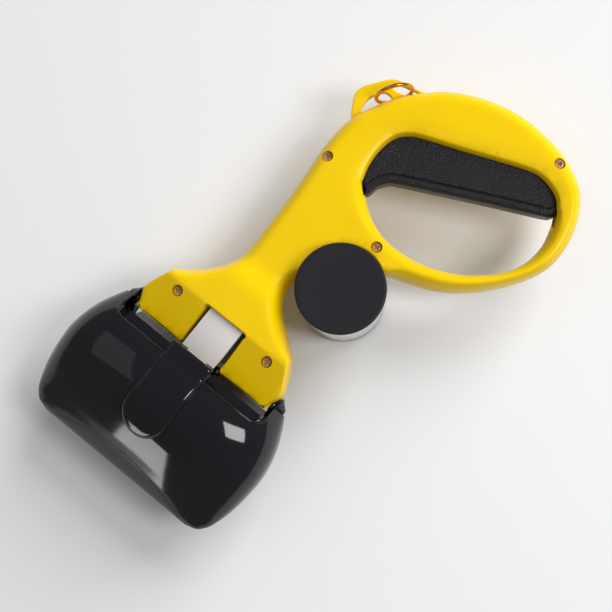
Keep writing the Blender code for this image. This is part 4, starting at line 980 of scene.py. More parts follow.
def rounded_profile(corners: Sequence[tuple[float, float, float]], steps: int = 6) -> list[Point]:
    """A profile with rounded corners.

    Args:
        corners: its (radius, height, rounding) rows.
        steps: the steps in a rounding.

    Returns:
        The profile's points.
    """
    profile: list[Point] = []
    count = len(corners)
    for i, (x, z, rounding) in enumerate(corners):
        here = Vector((x, z))
        if rounding <= 0:
            profile.append((x, z))
            continue
        before = Vector(corners[(i - 1) % count][:2]) - here
        after = Vector(corners[(i + 1) % count][:2]) - here
        start = here + before.normalized() * rounding
        end = here + after.normalized() * rounding
        for j in range(steps + 1):
            t = j / steps
            point = start * (1 - t) ** 2 + here * 2 * t * (1 - t) + end * t * t
            profile.append((point.x, point.y))
    return profile


def add_tabs(
    bm: bmesh.types.BMesh, screw: Point, reaches: Point, size: Place, low: float
) -> None:
    """Adds the dispenser's two tabs, or the room for them.

    Args:
        bm: the mesh.
        screw: where the screw stands that holds the first tab.
        reaches: how far the first goes beyond the screw, and the second from the axis.
        size: the boxes' start from the axis, their half width and the height of their top.
        low: the height of their underside.
    """
    start, half, top = size
    run = (screw[0] - DISPENSER_PLACE[0], screw[1] - DISPENSER_PLACE[1])
    first = (math.atan2(run[1], run[0]), math.hypot(*run) + reaches[0])
    for angle, far in (first, (SECOND_TAB_TURN, reaches[1])):
        made = add_box(bm, (start, -half, low), (far, half, top))
        place = Matrix.Translation((*DISPENSER_PLACE, 0.0)) @ Matrix.Rotation(angle, 4, "Z")
        bmesh.ops.transform(bm, matrix=place, verts=made)


def flipped(bm: bmesh.types.BMesh) -> bmesh.types.BMesh:
    """The same shape on the other side of the plane between the shells.

    Args:
        bm: the mesh.

    Returns:
        The same mesh, turned over.
    """
    bmesh.ops.scale(bm, vec=(1.0, 1.0, -1.0), verts=bm.verts)
    bmesh.ops.reverse_faces(bm, faces=bm.faces)
    return bm


def new_object(name: str, bm: bmesh.types.BMesh) -> bpy.types.Object:
    """An object of a mesh, in the tool frame.

    Args:
        name: its name.
        bm: the mesh, which is freed.

    Returns:
        The object.
    """
    mesh = bpy.data.meshes.new(name)
    bm.to_mesh(mesh)
    bm.free()
    obj = bpy.data.objects.new(name, mesh)
    bpy.context.scene.collection.objects.link(obj)
    return obj


def carve(
    obj: bpy.types.Object, steps: Iterable[tuple[bmesh.types.BMesh, Join]]
) -> bpy.types.Object:
    """Cuts helper solids from an object or joins them on.

    Args:
        obj: the object.
        steps: the helpers, with what each does.

    Returns:
        The object, with the result as its mesh.
    """
    helpers = []
    for bm, join in steps:
        helper = new_object(obj.name + "_helper", bm)
        helper.hide_render = True
        modifier = obj.modifiers.new(helper.name, "BOOLEAN")
        modifier.operation = join.value
        modifier.object = helper
        modifier.solver = "MANIFOLD"
        helpers.append(helper)
    settle(obj)
    for helper in helpers:
        mesh = helper.data
        bpy.data.objects.remove(helper)
        bpy.data.meshes.remove(mesh)
    return obj


def settle(obj: bpy.types.Object) -> None:
    """Turns what an object's modifiers make into its plain mesh.

    Args:
        obj: the object, which loses its modifiers.
    """
    bpy.context.view_layer.update()
    graph = bpy.context.evaluated_depsgraph_get()
    made = bpy.data.meshes.new_from_object(obj.evaluated_get(graph), depsgraph=graph)
    old = obj.data
    obj.modifiers.clear()
    obj.data = made
    bpy.data.meshes.remove(old)
    made.name = obj.name


class Workshop:
    """What the sub-assemblies share: the place of the tool and the finishes."""

    def __init__(self) -> None:
        """Reads the hinge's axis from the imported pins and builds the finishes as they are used."""
        left, right = (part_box(name) for name in ("left_hinge_pin", "right_hinge_pin"))
        middle = (left[0] + left[1]) / 2
        self.origin = Vector((middle.x, (left[1].y + right[0].y) / 2, middle.z))
        self.materials: dict[str, bpy.types.Material] = {}
        LOG.info("tool frame at %s", tuple(round(v, 5) for v in self.origin))

    def material(self, finish: Finish) -> bpy.types.Material:
        """The material of a finish, made once."""
        if finish.name not in self.materials:
            self.materials[finish.name] = finish.material()
        return self.materials[finish.name]

    def deliver(
        self,
        obj: bpy.types.Object,
        finish: Finish,
        body: str,
        nodes: Sequence[str],
        soft_angle: float = 35.0,
    ) -> bpy.types.Object:
        """Moves a piece to the row frame, dresses it and says what it rides on and replaces.

        Args:
            obj: the piece, in the tool frame, with a plain mesh.
            finish: its finish.
            body: the body that it rides on.
            nodes: the nodes that it stands for.
            soft_angle: edges sharper than this, in degrees, stay crisp.

        Returns:
            The piece.
        """
        mesh = obj.data
        mesh.transform(Matrix.Translation(self.origin))
        mesh.shade_smooth()
        mesh.set_sharp_from_angle(angle=math.radians(soft_angle))
        mesh.materials.clear()
        mesh.materials.append(self.material(finish))
        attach(obj, body)
        if nodes:
            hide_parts(*nodes)
        LOG.info("%s: %d faces, on %s", obj.name, len(mesh.polygons), body)
        return obj

    def dress_node(self, node: bpy.types.Object, finish: Finish) -> None:
        """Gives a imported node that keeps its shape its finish.

        Args:
            node: the node.
            finish: its finish.
        """
        node.data.materials.clear()
        node.data.materials.append(self.material(finish))
        LOG.info("%s: packed shape, %s", node.name, finish.name)


# Geometry Nodes


class Recipe(Nodes):
    """A Geometry Nodes tree on an object of its own, with named inputs for its sizes."""

    def __init__(self, name: str, sizes: dict[str, float]) -> None:
        """Makes the tree with one float input for each size.

        Args:
            name: the name of the object that it makes.
            sizes: the sizes, by their labels.
        """
        super().__init__(bpy.data.node_groups.new(name, "GeometryNodeTree"))
        self.name = name
        self.sizes = sizes
        self.ids: dict[str, str] = {}
        self.helpers: list[bpy.types.Object] = []
        for label in sizes:
            socket = self.tree.interface.new_socket(
                label, in_out="INPUT", socket_type="NodeSocketFloat"
            )
            self.ids[label] = socket.identifier
        self.tree.interface.new_socket(
            "Geometry", in_out="OUTPUT", socket_type="NodeSocketGeometry"
        )
        self.inputs = self.tree.nodes.new("NodeGroupInput")
        self.output = self.tree.nodes.new("NodeGroupOutput")

    def size(self, label: str) -> bpy.types.NodeSocket:
        """The socket of a named size."""
        return self.inputs.outputs[label]

    def take(self, helper: bpy.types.Object) -> bpy.types.NodeSocket:
        """The geometry of a helper object, which is removed once the tree has run."""
        self.helpers.append(helper)
        return self.node("GeometryNodeObjectInfo", {}, {"Object": helper}).outputs["Geometry"]

    def line(self, points: Iterable[Sequence[float]]) -> bpy.types.NodeSocket:
        """The curve through a row of points.

        Args:
            points: the points, in order.

        Returns:
            The curve's socket.
        """
        bm = bmesh.new()
        verts = [bm.verts.new(point) for point in points]
        for a, b in zip(verts, verts[1:]):
            bm.edges.new((a, b))
        guide = self.take(new_object(self.name + "_guide", bm))
        return self.node("GeometryNodeMeshToCurve", {}, {0: guide}).outputs[0]

    def circle(self, label: str, sides: int) -> bpy.types.NodeSocket:
        """A circle with a named size as its radius."""
        values = {"Resolution": sides, "Radius": self.size(label)}
        return self.node("GeometryNodeCurvePrimitiveCircle", {}, values).outputs[0]

    def rod(self, curve: bpy.types.NodeSocket, label: str, sides: int) -> bpy.types.Node:
        """The node of a round rod along a curve, with a named size as its radius."""
        values = {0: curve, 1: self.circle(label, sides), "Fill Caps": True}
        return self.node("GeometryNodeCurveToMesh", {}, values)

    def cook(
        self, geometry: bpy.types.NodeSocket, material: bpy.types.Material
    ) -> bpy.types.Object:
        """Ends the tree and runs it.

        Args:
            geometry: what the tree makes.
            material: the material that it gets.

        Returns:
            The result, as a plain mesh object in the tool frame.
        """
        real = self.node("GeometryNodeRealizeInstances", {}, {0: geometry})
        dressed = self.node("GeometryNodeSetMaterial", {}, {0: real.outputs[0], 2: material})
        self.tree.links.new(dressed.outputs[0], self.output.inputs[0])
        obj = new_object(self.name, bmesh.new())
        modifier = obj.modifiers.new(self.name, "NODES")
        modifier.node_group = self.tree
        for label, value in self.sizes.items():
            modifier[self.ids[label]] = float(value)
        settle(obj)
        bpy.data.node_groups.remove(self.tree)
        for helper in self.helpers:
            bpy.data.objects.remove(helper)
        return obj


@dataclass
class Body:
    """The two yellow shells: flared head, neck, loop handle and eyelet plate."""

    shop: Workshop
    reach: float = 0.214
    front_reach: float = 0.004
    ridge_reach: float = 0.0218
    ridge_round: float = 0.0011
    window_reach: float = 0.0206
    ridge_height: float = 0.0175
    front_height: float = 0.0080
    neck_height: float = 0.0130
    neck_start: float = 0.058
    crest_end: float = 0.041
    soft_edge: float = 0.0085
    bar_edge: float = 0.0065
    crisp_edge: float = 0.0014
    grip_edge: float = 0.0022
    window_half_width: float = 0.0127
    tunnel_half: float = 0.0114
    tunnel_top: float = 0.0162
    block_width: float = 0.0112
    block_end: float = 0.0064
    pin_depth: float = 0.0090
    rib_start: float = 0.0845
    rib_end: float = 0.0869
    rib_half: float = 0.0105
    rod_start: float = 0.082
    rod_end: float = 0.089
    rod_radius: float = 0.0044
    mouth_step: float = 0.0036
    mouth_beyond: float = 0.0145
    mouth_depth: float = 0.0053
    mouth_half: float = 0.0072
    mouth_trim: int = 3
    tab_reaches: Point = (0.0045, 0.0292)
    tab_room: Place = (0.0223, 0.0056, 0.0019)
    post_start: float = 0.0021
    post_radius: float = 0.0042
    loop_passes: int = 14
    crown_fall: float = 0.0012
    crown_start: float = 0.105
    crown_full: float = 0.130
    crown_reach: float = 0.0100
    head_side: float = HEAD_SIDE
    head_corner: float = 0.0025
    notch_radius: float = 0.0247
    notch_start: float = math.radians(104)
    notch_end: float = math.radians(-27)
    cavity_side_share: float = 0.25
    ring_spacing: float = 0.6
    step: float = 0.0018
    field_step: float = 0.0042

    side_shares = (
        (-0.078, -0.960), (0.023, -1.010), (0.170, -1.052), (0.367, -0.978), (0.574, -0.8725),
    )
    neck_shares = ((0.1640, -0.1410), (0.2060, -0.0920), (0.2480, -0.0680), (0.2760, -0.0640))
    loop_shares = (
        (0.4890, -0.3610), (0.5440, -0.4380), (0.6150, -0.5020), (0.6840, -0.5450),
        (0.7460, -0.5610), (0.8310, -0.5510), (0.8940, -0.5220), (0.9300, -0.4920),
        (0.9650, -0.4275), (0.9834, -0.3526), (0.9885, -0.2687), (0.9777, -0.1967),
        (0.9520, -0.1212), (0.9160, -0.0570), (0.8750, -0.0160), (0.8480, 0.0130),
        (0.8080, 0.0400), (0.7660, 0.0620), (0.7220, 0.0860), (0.6370, 0.0960),
        (0.5830, 0.0940), (0.4700, 0.0840), (0.3620, 0.0810), (0.2850, 0.0800),
        (0.2390, 0.0850), (0.2010, 0.1070), (0.1600, 0.1440),
    )
    bar_shares = (
        (0.5960, -0.0460), (0.5760, -0.0690), (0.5450, -0.1100), (0.5210, -0.1650),
        (0.5150, -0.2200), (0.5220, -0.2860), (0.5450, -0.3520), (0.5790, -0.4110),
        (0.6270, -0.4640), (0.6830, -0.4980), (0.7410, -0.5080), (0.7900, -0.5000),
        (0.8360, -0.4830),
    )
    grip_shares = (
        (0.8360, -0.4830), (0.8660, -0.4540), (0.8810, -0.4070), (0.8770, -0.3630),
        (0.8450, -0.2760), (0.8110, -0.1880), (0.7800, -0.1040), (0.7640, -0.0700),
        (0.7350, -0.0430), (0.6880, -0.0320), (0.6400, -0.0340), (0.5960, -0.0460),
    )
    eyelet_shares = (
        (0.7120, 0.0820), (0.7230, 0.0940), (0.7520, 0.1110), (0.7780, 0.1210),
        (0.8010, 0.1160), (0.8280, 0.0970), (0.8560, 0.0750), (0.8680, 0.0590),
        (0.8760, 0.0350), (0.8830, -0.0090), (0.8930, -0.0420),
    )
    eyelet_root_shares = ((0.8690, -0.0220), (0.8420, 0.0070), (0.8040, 0.0330), (0.7620, 0.0560))
    eyelet_hole_shares = (
        (0.7440, 0.0760), (0.7590, 0.0840), (0.7750, 0.0850), (0.7900, 0.0820),
        (0.8060, 0.0750), (0.8200, 0.0650), (0.8250, 0.0520), (0.8220, 0.0350),
        (0.8080, 0.0430), (0.7870, 0.0540), (0.7660, 0.0650),
    )
    eyelet_slot_shares = (
        (0.8430, 0.0490), (0.8560, 0.0560), (0.8650, 0.0380), (0.8710, 0.0140),
        (0.8750, -0.0100), (0.8620, 0.0000), (0.8520, 0.0100), (0.8450, 0.0300),
    )
    screw_shares = ((0.5897, 0.0645), (0.4822, -0.1813), (0.9374, -0.4131))
    head_screw_shares = (0.369, 0.670)
    ridge_line_shares = (-1.8, -1.0, -0.5, 0.0, 0.5, 1.0, 1.8)
    cavity_ring_shares = (0.3, 1.0)
    eyelet_ring_shares = (0.08, 0.3, 0.65, 1.0)
    counterbore_radius: float = 0.0032
    eyelet_half_thickness: float = 0.0020
    eyelet_edge: float = 0.0007

    def __post_init__(self) -> None:
        """Keeps the line of the loop's opening, which the crown falls towards."""
        line = [*self.bar_shares, *self.grip_shares]
        self.opening = np.array(smooth_path(scaled(line, self.reach), 2 * self.step))

    def screw_places(self) -> Path:
        """Where the five case screws stand."""
        along, across = (self.head_side * share for share in self.head_screw_shares)
        return [(along, across), (along, -across), *scaled(self.screw_shares, self.reach)]

    def region(self) -> Region:
        """The plan of the body, with the edge radius of each point.

        Returns:
            The region.
        """
        side = scaled(self.side_shares, self.head_side)
        other = [(x, -y) for x, y in reversed(side)]
        front, corner = -self.front_reach, self.head_side - self.head_corner
        back = self.window_reach
        half = self.window_half_width
        arc = arc_path(
            DISPENSER_PLACE, self.notch_radius, self.notch_start, self.notch_end, self.step
        )
        neck = smooth_path([side[-1], *scaled(self.neck_shares, self.reach), arc[0]], self.step)
        loop = smooth_path([arc[-1], *scaled(self.loop_shares, self.reach), other[0]], self.step)
        loop = relaxed(loop, self.loop_passes)
        outer, outer_radii = tagged_loop(
            (
                (straight_path((front, -half), (front, -corner), self.step), self.crisp_edge),
                (smooth_path(side, self.step), self.grip_edge),
                (neck, self.soft_edge),
                (arc, self.grip_edge),
                (loop, self.soft_edge),
                (smooth_path(other, self.step), self.grip_edge),
                (straight_path((front, corner), (front, half), self.step), self.crisp_edge),
                (straight_path((front, half), (back, half), self.step), self.crisp_edge),
                (straight_path((back, half), (back, -half), self.step), self.crisp_edge),
                (straight_path((back, -half), (front, -half), self.step), self.crisp_edge),
            )
        )
        opening, radii = tagged_loop(
            (
                (smooth_path(scaled(self.bar_shares, self.reach), self.step), self.bar_edge),
                (smooth_path(scaled(self.grip_shares, self.reach), self.step), self.grip_edge),
            )
        )
        return Region([outer, opening], [outer_radii, radii]).with_room()

    def crest(self, flat: np.ndarray) -> np.ndarray:
        """Height of the body's back before its edges are rounded.

        Args:
            flat: the places in plan.

        Returns:
            The heights.
        """
        x = flat[:, 0]
        fall = smoothstep(x, self.crest_end, self.neck_start)
        back = self.ridge_height + (self.neck_height - self.ridge_height) * fall
        slope = (self.ridge_height - self.front_height) / (self.ridge_reach + self.front_reach)
        before = self.ridge_reach - x
        front = self.ridge_height - slope * before
        reach = np.clip(self.ridge_round + before, 0.0, 2 * self.ridge_round)
        rounded = self.ridge_height - slope * reach ** 2 / (4 * self.ridge_round)
        near = np.linalg.norm(flat[:, None] - self.opening[None], axis=2).min(axis=1)
        fall = 1 - smoothstep(near, 0.0, self.crown_reach)
        back = back - self.crown_fall * fall * smoothstep(x, self.crown_start, self.crown_full)
        return np.where(before > self.ridge_round, front, np.minimum(back, rounded))

    def back(self, flat: np.ndarray, depth: np.ndarray) -> np.ndarray:
        """Height of the shell's outer face."""
        return GAP / 2 + (self.crest(flat) - GAP / 2) * quarter_round(depth)

    def height_at(self, region: Region, place: Point) -> float:
        """Height of the shell's outer face at one place."""
        flat = np.array([place])
        return float(self.back(flat, region.edge_share(flat))[0])

    def ridge(self, step: float) -> Path:
        """Points along the head's rounded ridge."""
        count = round(2 * self.head_side / step)
        return [
            (self.ridge_reach + self.ridge_round * line, self.head_side * (2 * i / count - 1))
            for line in self.ridge_line_shares
            for i in range(count + 1)
        ]

    def blank(self, region: Region) -> bmesh.types.BMesh:
        """The solid form of one shell.

        Args:
            region: the plan of the body.

        Returns:
            The solid.
        """
        least, ridge = self.step * self.ring_spacing, self.ridge(self.step)
        inner = region.points(Region.ring_shares, least, self.field_step, ridge)
        return solid_between(region, inner, self.back, level(GAP / 2))

    def cavity(self, region: Region) -> bmesh.types.BMesh:
        """The hollow inside one shell.

        Args:
            region: the plan of the body.

        Returns:
            The solid to cut.
        """
        inner = region.inset(WALL, self.crisp_edge)
        side = self.cavity_side_share

        def top(flat: np.ndarray, depth: np.ndarray) -> np.ndarray:
            """Height of the hollow's roof."""
            return (self.crest(flat) - WALL) * (side + (1 - side) * quarter_round(depth))

        points = inner.points(self.cavity_ring_shares, self.step, self.field_step * 2)
        return solid_between(inner, points, top, level(-OVERRUN))

    def fillings(self) -> bmesh.types.BMesh:
        """The blocks behind the head's front that hold the hinge pins, and the spring's rib.

        Returns:
            The solids to add.
        """
        bm = bmesh.new()
        front, top = WALL / 2 - self.front_reach, self.front_height - WALL / 2
        for side in SIDES:
            low, high = span(side, self.head_side - self.block_width, self.head_side)
            add_box(bm, (front, low, GAP), (self.block_end, high - side * GAP, top))
        add_box(
            bm, (self.rib_start, -self.rib_half, GAP),
            (self.rib_end, self.rib_half, self.neck_height - WALL / 2),
        )
        return bm

    def eyelet(self) -> bmesh.types.BMesh:
        """The flat eyelet plate, rounded along its edges, down to the parting plane.

        Returns:
            The solid to add.
        """
        step = self.step / 2
        outer = smooth_path(scaled(self.eyelet_shares, self.reach), step)
        root = smooth_path(scaled(self.eyelet_root_shares, self.reach), step)
        loops, radii = [], []
        for path in (
            outer + root,
            *(
                smooth_path([*scaled(shares, self.reach), scaled(shares, self.reach)[0]], step)
                for shares in (self.eyelet_hole_shares, self.eyelet_slot_shares)
            ),
        ):
            loop, _ = tagged_loop(((path, self.eyelet_edge),))
            loops.append(loop)
            radii.append(np.full(len(loop), self.eyelet_edge))
        region = Region(loops, radii)

        def top(flat: np.ndarray, depth: np.ndarray) -> np.ndarray:
            """Height of the plate's face."""
            rise = self.eyelet_half_thickness - self.eyelet_edge
            return rise + self.eyelet_edge * quarter_round(depth)

        inner = region.points(self.eyelet_ring_shares, step * RING_SPACING, self.step)
        return solid_between(region, inner, top, level(GAP))

    def mouth(self) -> Path:
        """Plan of the slot in the opening's wall that lets the trigger in.

        Returns:
            The plan.
        """
        bar = smooth_path(scaled(self.bar_shares, self.reach), self.mouth_step)
        grip = smooth_path(scaled(self.grip_shares, self.reach), self.mouth_step)
        beyond = round(self.mouth_beyond / self.mouth_step)
        parts = (bar[-1 - beyond : -1], grip, bar[1 : 1 + beyond])
        path = np.array(tagged_loop((part, 1.0) for part in parts)[0])
        along = np.gradient(path, axis=0)
        outwards = np.column_stack([along[:, 1], -along[:, 0]])
        outwards /= np.linalg.norm(outwards, axis=1)[:, None]
        middle = np.array(scaled(self.bar_shares, self.reach)).mean(axis=0)
        if (path[len(path) // 2] - middle) @ outwards[len(path) // 2] < 0:
            outwards = -outwards
        over = path + outwards * self.mouth_depth
        kept = slice(self.mouth_trim, -self.mouth_trim)
        under = path[kept] - outwards[kept] * OVERRUN
        return [tuple(p) for p in over] + [tuple(p) for p in under[::-1]]

    def slots(self) -> bmesh.types.BMesh:
        """Room in one shell for the trigger and the sleeve's tabs.

        Returns:
            The solids to cut.
        """
        bm = bmesh.new()
        add_prism(bm, self.mouth(), -OVERRUN, self.mouth_half)
        add_tabs(bm, self.screw_places()[3], self.tab_reaches, self.tab_room, -OVERRUN)
        return bm

    def holes(self, region: Region, is_front: bool) -> bmesh.types.BMesh:
        """The yoke's tunnel, the holes of the rod and the pins, and the counterbores.

        Args:
            region: the plan of the body.
            is_front: whether the shell is the front one, which has the counterbores.

        Returns:
            The solids to cut.
        """
        bm = bmesh.new()
        add_box(
            bm, (self.window_reach - WALL, -self.tunnel_half, -OVERRUN),
            (self.window_reach + 3 * WALL, self.tunnel_half, self.tunnel_top),
        )
        add_cylinder(bm, (self.rod_start, 0.0, 0.0), (self.rod_end, 0.0, 0.0), self.rod_radius)
        for side in SIDES:
            start, end = self.head_side - self.pin_depth, self.head_side + OVERRUN
            ends = ((0.0, side * start, 0.0), (0.0, side * end, 0.0))
            add_cylinder(bm, *ends, PIN_RADIUS + GAP / 2)
        if is_front:
            for place in self.screw_places():
                surface = self.height_at(region, place)
                ends = ((*place, surface - SCREW_SINK), (*place, surface + OVERRUN))
                add_cylinder(bm, *ends, self.counterbore_radius)
        return bm

    def posts(self, region: Region) -> bmesh.types.BMesh:
        """The posts that carry the screws, from near the parting plane to beyond the back.

        Args:
            region: the plan of the body.

        Returns:
            The posts.
        """
        bm = bmesh.new()
        for place in self.screw_places():
            top = self.height_at(region, place) + OVERRUN
            add_cylinder(bm, (*place, self.post_start), (*place, top), self.post_radius)
        return bm

    def hollow(self, region: Region) -> bmesh.types.BMesh:
        """The hollow with the screws' posts left standing in it.

        Args:
            region: the plan of the body.

        Returns:
            The solid to cut.
        """
        obj = carve(new_object("hollow", self.cavity(region)), [(self.posts(region), Join.CUT)])
        bm = bmesh.new()
        bm.from_mesh(obj.data)
        bpy.data.objects.remove(obj)
        return bm

    def build(self) -> None:
        """Builds and delivers both shells."""
        region = self.region()
        for name, is_front in (("front_shell", True), ("rear_shell", False)):
            side = (lambda bm: bm) if is_front else flipped
            shell = new_object("body_" + name, side(self.blank(region)))
            steps = [
                (self.hollow(region), Join.CUT),
                (self.fillings(), Join.ADD),
                (self.eyelet(), Join.ADD),
                (self.slots(), Join.CUT),
                (self.holes(region, is_front), Join.CUT),
            ]
            carve(shell, [(side(bm), join) for bm, join in steps])
            self.shop.deliver(shell, BODY_YELLOW, "housing", [name], soft_angle=32.0)


@dataclass
class CaseScrews:
    """The five case screws: domed heads with a cross recess, sunk in their counterbores."""

    shop: Workshop
    body: Body
    head_radius: float = 0.0025
    head_height: float = 0.0018
    flat_share: float = 0.66
    shank_radius: float = 0.00125
    shank_length: float = 0.0060
    recess_length: float = 0.0033
    recess_width: float = 0.00090
    recess_depth: float = 0.0020
    dome_steps: int = 6
    sides: int = 40
    seed: int = 3

    def screw(self) -> bpy.types.Object:
        """One screw, upright, with its seat at the origin.

        Returns:
            The screw, which the others are copies of.
        """
        flat, height = self.head_radius * self.flat_share, self.head_height
        shoulder = self.head_radius - flat
        angles = [QUARTER * i / self.dome_steps for i in range(self.dome_steps + 1)]
        dome = [
            (flat + shoulder * math.sin(a), height - shoulder * (1 - math.cos(a))) for a in angles
        ]
        profile = [(0.0, height), *dome, (self.head_radius, 0.0), (self.shank_radius, 0.0)]
        profile += [(self.shank_radius, -self.shank_length), (0.0, -self.shank_length)]
        bm = bmesh.new()
        add_turned(bm, profile, (0.0, 0.0), self.sides)
        cuts = []
        long, wide = self.recess_length / 2, self.recess_width / 2
        for x, y in ((long, wide), (wide, long)):
            bar = bmesh.new()
            add_box(bar, (-x, -y, height - self.recess_depth), (x, y, height + OVERRUN))
            cuts.append((bar, Join.CUT))
        return carve(new_object("screw_pattern", bm), cuts)

    def build(self) -> None:
        """Sets the screws in their counterbores with Geometry Nodes, each at its own turn."""
        region = self.body.region()
        places = bmesh.new()
        for place in self.body.screw_places():
            seat = self.body.height_at(region, place) - SCREW_SINK + GAP / 2
            places.verts.new((*place, seat))
        recipe = Recipe("case_screws", {"Most Turn": FULL_TURN})
        points = recipe.take(new_object("screw_places", places))
        pattern = recipe.take(self.screw())
        most = recipe.node("ShaderNodeCombineXYZ", {}, {"Z": recipe.size("Most Turn")})
        turn = recipe.node(
            "FunctionNodeRandomValue", {"data_type": "FLOAT_VECTOR"},
            {1: most.outputs[0], "Seed": self.seed},
        )
        copies = recipe.node(
            "GeometryNodeInstanceOnPoints", {},
            {"Points": points, "Instance": pattern, "Rotation": turn.outputs[0]},
        )
        obj = recipe.cook(copies.outputs[0], self.shop.material(COPPER))
        nodes = [f"case_screw_{number}" for number in range(1, 6)]
        self.shop.deliver(obj, COPPER, "housing", nodes, soft_angle=50.0)


@dataclass
class Jaws:
    """The two glossy scoop jaws, with ears on the hinge pins, lugs and the raised pads."""

    shop: Workshop
    length: float = 0.0872
    front: float = 0.0802
    half_width: float = 0.0680
    height: float = 0.0335
    wall: float = 0.0022
    lip_height: float = 0.0012
    bow: float = 0.0130
    bow_half_width: float = 0.050
    bow_length: float = 0.044
    rear_reach: float = 0.0120
    cutout_half: float = 0.0500
    cutout_round: float = 0.006
    power: float = 2.6
    pad_half: float = 0.0134
    pad_front: float = 0.0565
    pad_rear: float = 0.0034
    pad_rise: float = 0.0025
    pad_thickness: float = 0.0042
    pad_edge: float = 0.0020
    ear_radius: float = 0.0068
    ear_thickness: float = 0.0023
    outer_ear_thickness: float = 0.0054
    outer_ear_chamfer: float = 0.0044
    ear_bar_thickness: float = 0.0032
    ear_chamfer: float = 0.0014
    ear_bar: float = 0.0080
    shoulder_side: float = 0.0565
    shoulder_start: float = 0.0010
    shoulder_end: float = 0.0090
    head_side: float = HEAD_SIDE
    crank: float = CRANK
    travel: float = TRAVEL
    lug_radius: float = 0.0024
    lug_inner: float = 0.0069
    lug_thickness: float = 0.0022
    slot_half: float = 0.0123
    wall_foot: float = 0.0004
    upper_wall_top: float = 0.0092
    lower_wall_top: float = 0.0110
    bead_radius: float = 0.0009
    bead_out_share: float = 0.6
    bead_sink_share: float = 0.45
    bead_overlap: float = 0.001
    stations: int = 110
    sides: int = 176
    inner_stations: int = 60
    inner_sides: int = 120
    lip_crowding: float = 1.5
    round_sides: int = 64
    parting_steps: int = 60
    end_steps: int = 12
    ear_segments: int = 4
    bead_sides: int = 14
    bead_step: float = 0.0012
    bead_end_step: float = 0.0015
    rim_step: float = 0.0008
    pad_step: float = 0.0011
    curve_step: float = 0.006

    pad_ring_shares = (0.1, 0.3, 0.6, 1.0)
    rear_face = ((-0.0094, 0.0004), (-0.0076, 0.0080))
    lower_lean = ((-0.0068, 0.0105), (-0.0052, 0.0160), (-0.0064, 0.0168))

    width_shares = (
        (0.000, 0.740), (0.022, 0.830), (0.055, 0.878), (0.105, 0.918), (0.200, 0.957),
        (0.300, 0.983), (0.420, 0.998), (0.530, 1.000), (0.650, 0.975), (0.760, 0.930),
        (0.870, 0.862), (0.940, 0.812), (1.000, 0.778),
    )
    height_shares = (
        (0.000, 0.000), (0.006, 0.052), (0.020, 0.110), (0.045, 0.180), (0.085, 0.280),
        (0.130, 0.385), (0.200, 0.545), (0.280, 0.712), (0.360, 0.845), (0.450, 0.945),
        (0.540, 0.998), (0.640, 0.990),
        (0.740, 0.920), (0.820, 0.790), (0.900, 0.580), (0.960, 0.360), (1.000, 0.203),
    )

    def __post_init__(self) -> None:
        """Smooths the two tables of the jaws' section."""
        self.width_curve = np.array(smooth_path(self.width_shares, self.curve_step)).T
        self.height_curve = np.array(smooth_path(self.height_shares, self.curve_step)).T

    def section(self, x: float) -> tuple[float, float]:
        """Half width and half height of the closed jaws at x.

        Args:
            x: where the section stands.

        Returns:
            The two sizes.
        """
        share = (x + self.front) / self.length
        width = self.half_width * float(np.interp(share, *self.width_curve))
        height = self.height * float(np.interp(share, *self.height_curve))
        return width, height + self.lip_height / 2

    def surface(self, x: float, y: float) -> float:
        """Height of the upper jaw's outer face.

        Args:
            x: the place along the tool.
            y: the place across it.

        Returns:
            The height.
        """
        width, height = self.section(x)
        side = min(abs(y) / width, 1.0)
        return height * (1 - side ** self.power) ** (1 / self.power)

    def tube(
        self, start: float, end: float, inset: float, stations: int, sides: int
    ) -> bmesh.types.BMesh:
        """The jaws' closed outer form, or their inside, as rings from the lip to the rear.

        Args:
            start: where the first ring stands.
            end: where the last one stands.
            inset: how far inside the outer form the rings lie.
            stations: the number of steps between them, which are closer near the lip.
            sides: the number of points in a ring.

        Returns:
            The solid.
        """
        bm = bmesh.new()
        power = 2 / self.power
        angles = [FULL_TURN * i / sides for i in range(sides)]
        turns = [(math.cos(angle), math.sin(angle)) for angle in angles]
        shape = [[math.copysign(abs(value) ** power, value) for value in turn] for turn in turns]
        rings = []
        for station in range(stations + 1):
            x = start + (end - start) * (station / stations) ** self.lip_crowding
            width, height = self.section(x)
            rings.append(
                [bm.verts.new((x, (width - inset) * y, (height - inset) * z)) for y, z in shape]
            )
        bm.faces.new(rings[0])
        bm.faces.new(rings[-1][::-1])
        for near, far in zip(rings, rings[1:]):
            bridge(bm, near, far)
        turn_outwards(bm, bm.faces[:])
        return bm

    def parting(self, x: float, y: float) -> float:
        """Height of the line where the jaws meet: level at the sides, bowed up at the lip.

        Args:
            x: the place along the tool.
            y: the place across it.

        Returns:
            The height.
        """
        bow = max(0.0, 1 - (y / self.bow_half_width) ** 2)
        near = min(1.0, max(0.0, (-x - self.front + self.bow_length) / self.bow_length * 2))
        return self.bow * bow * near

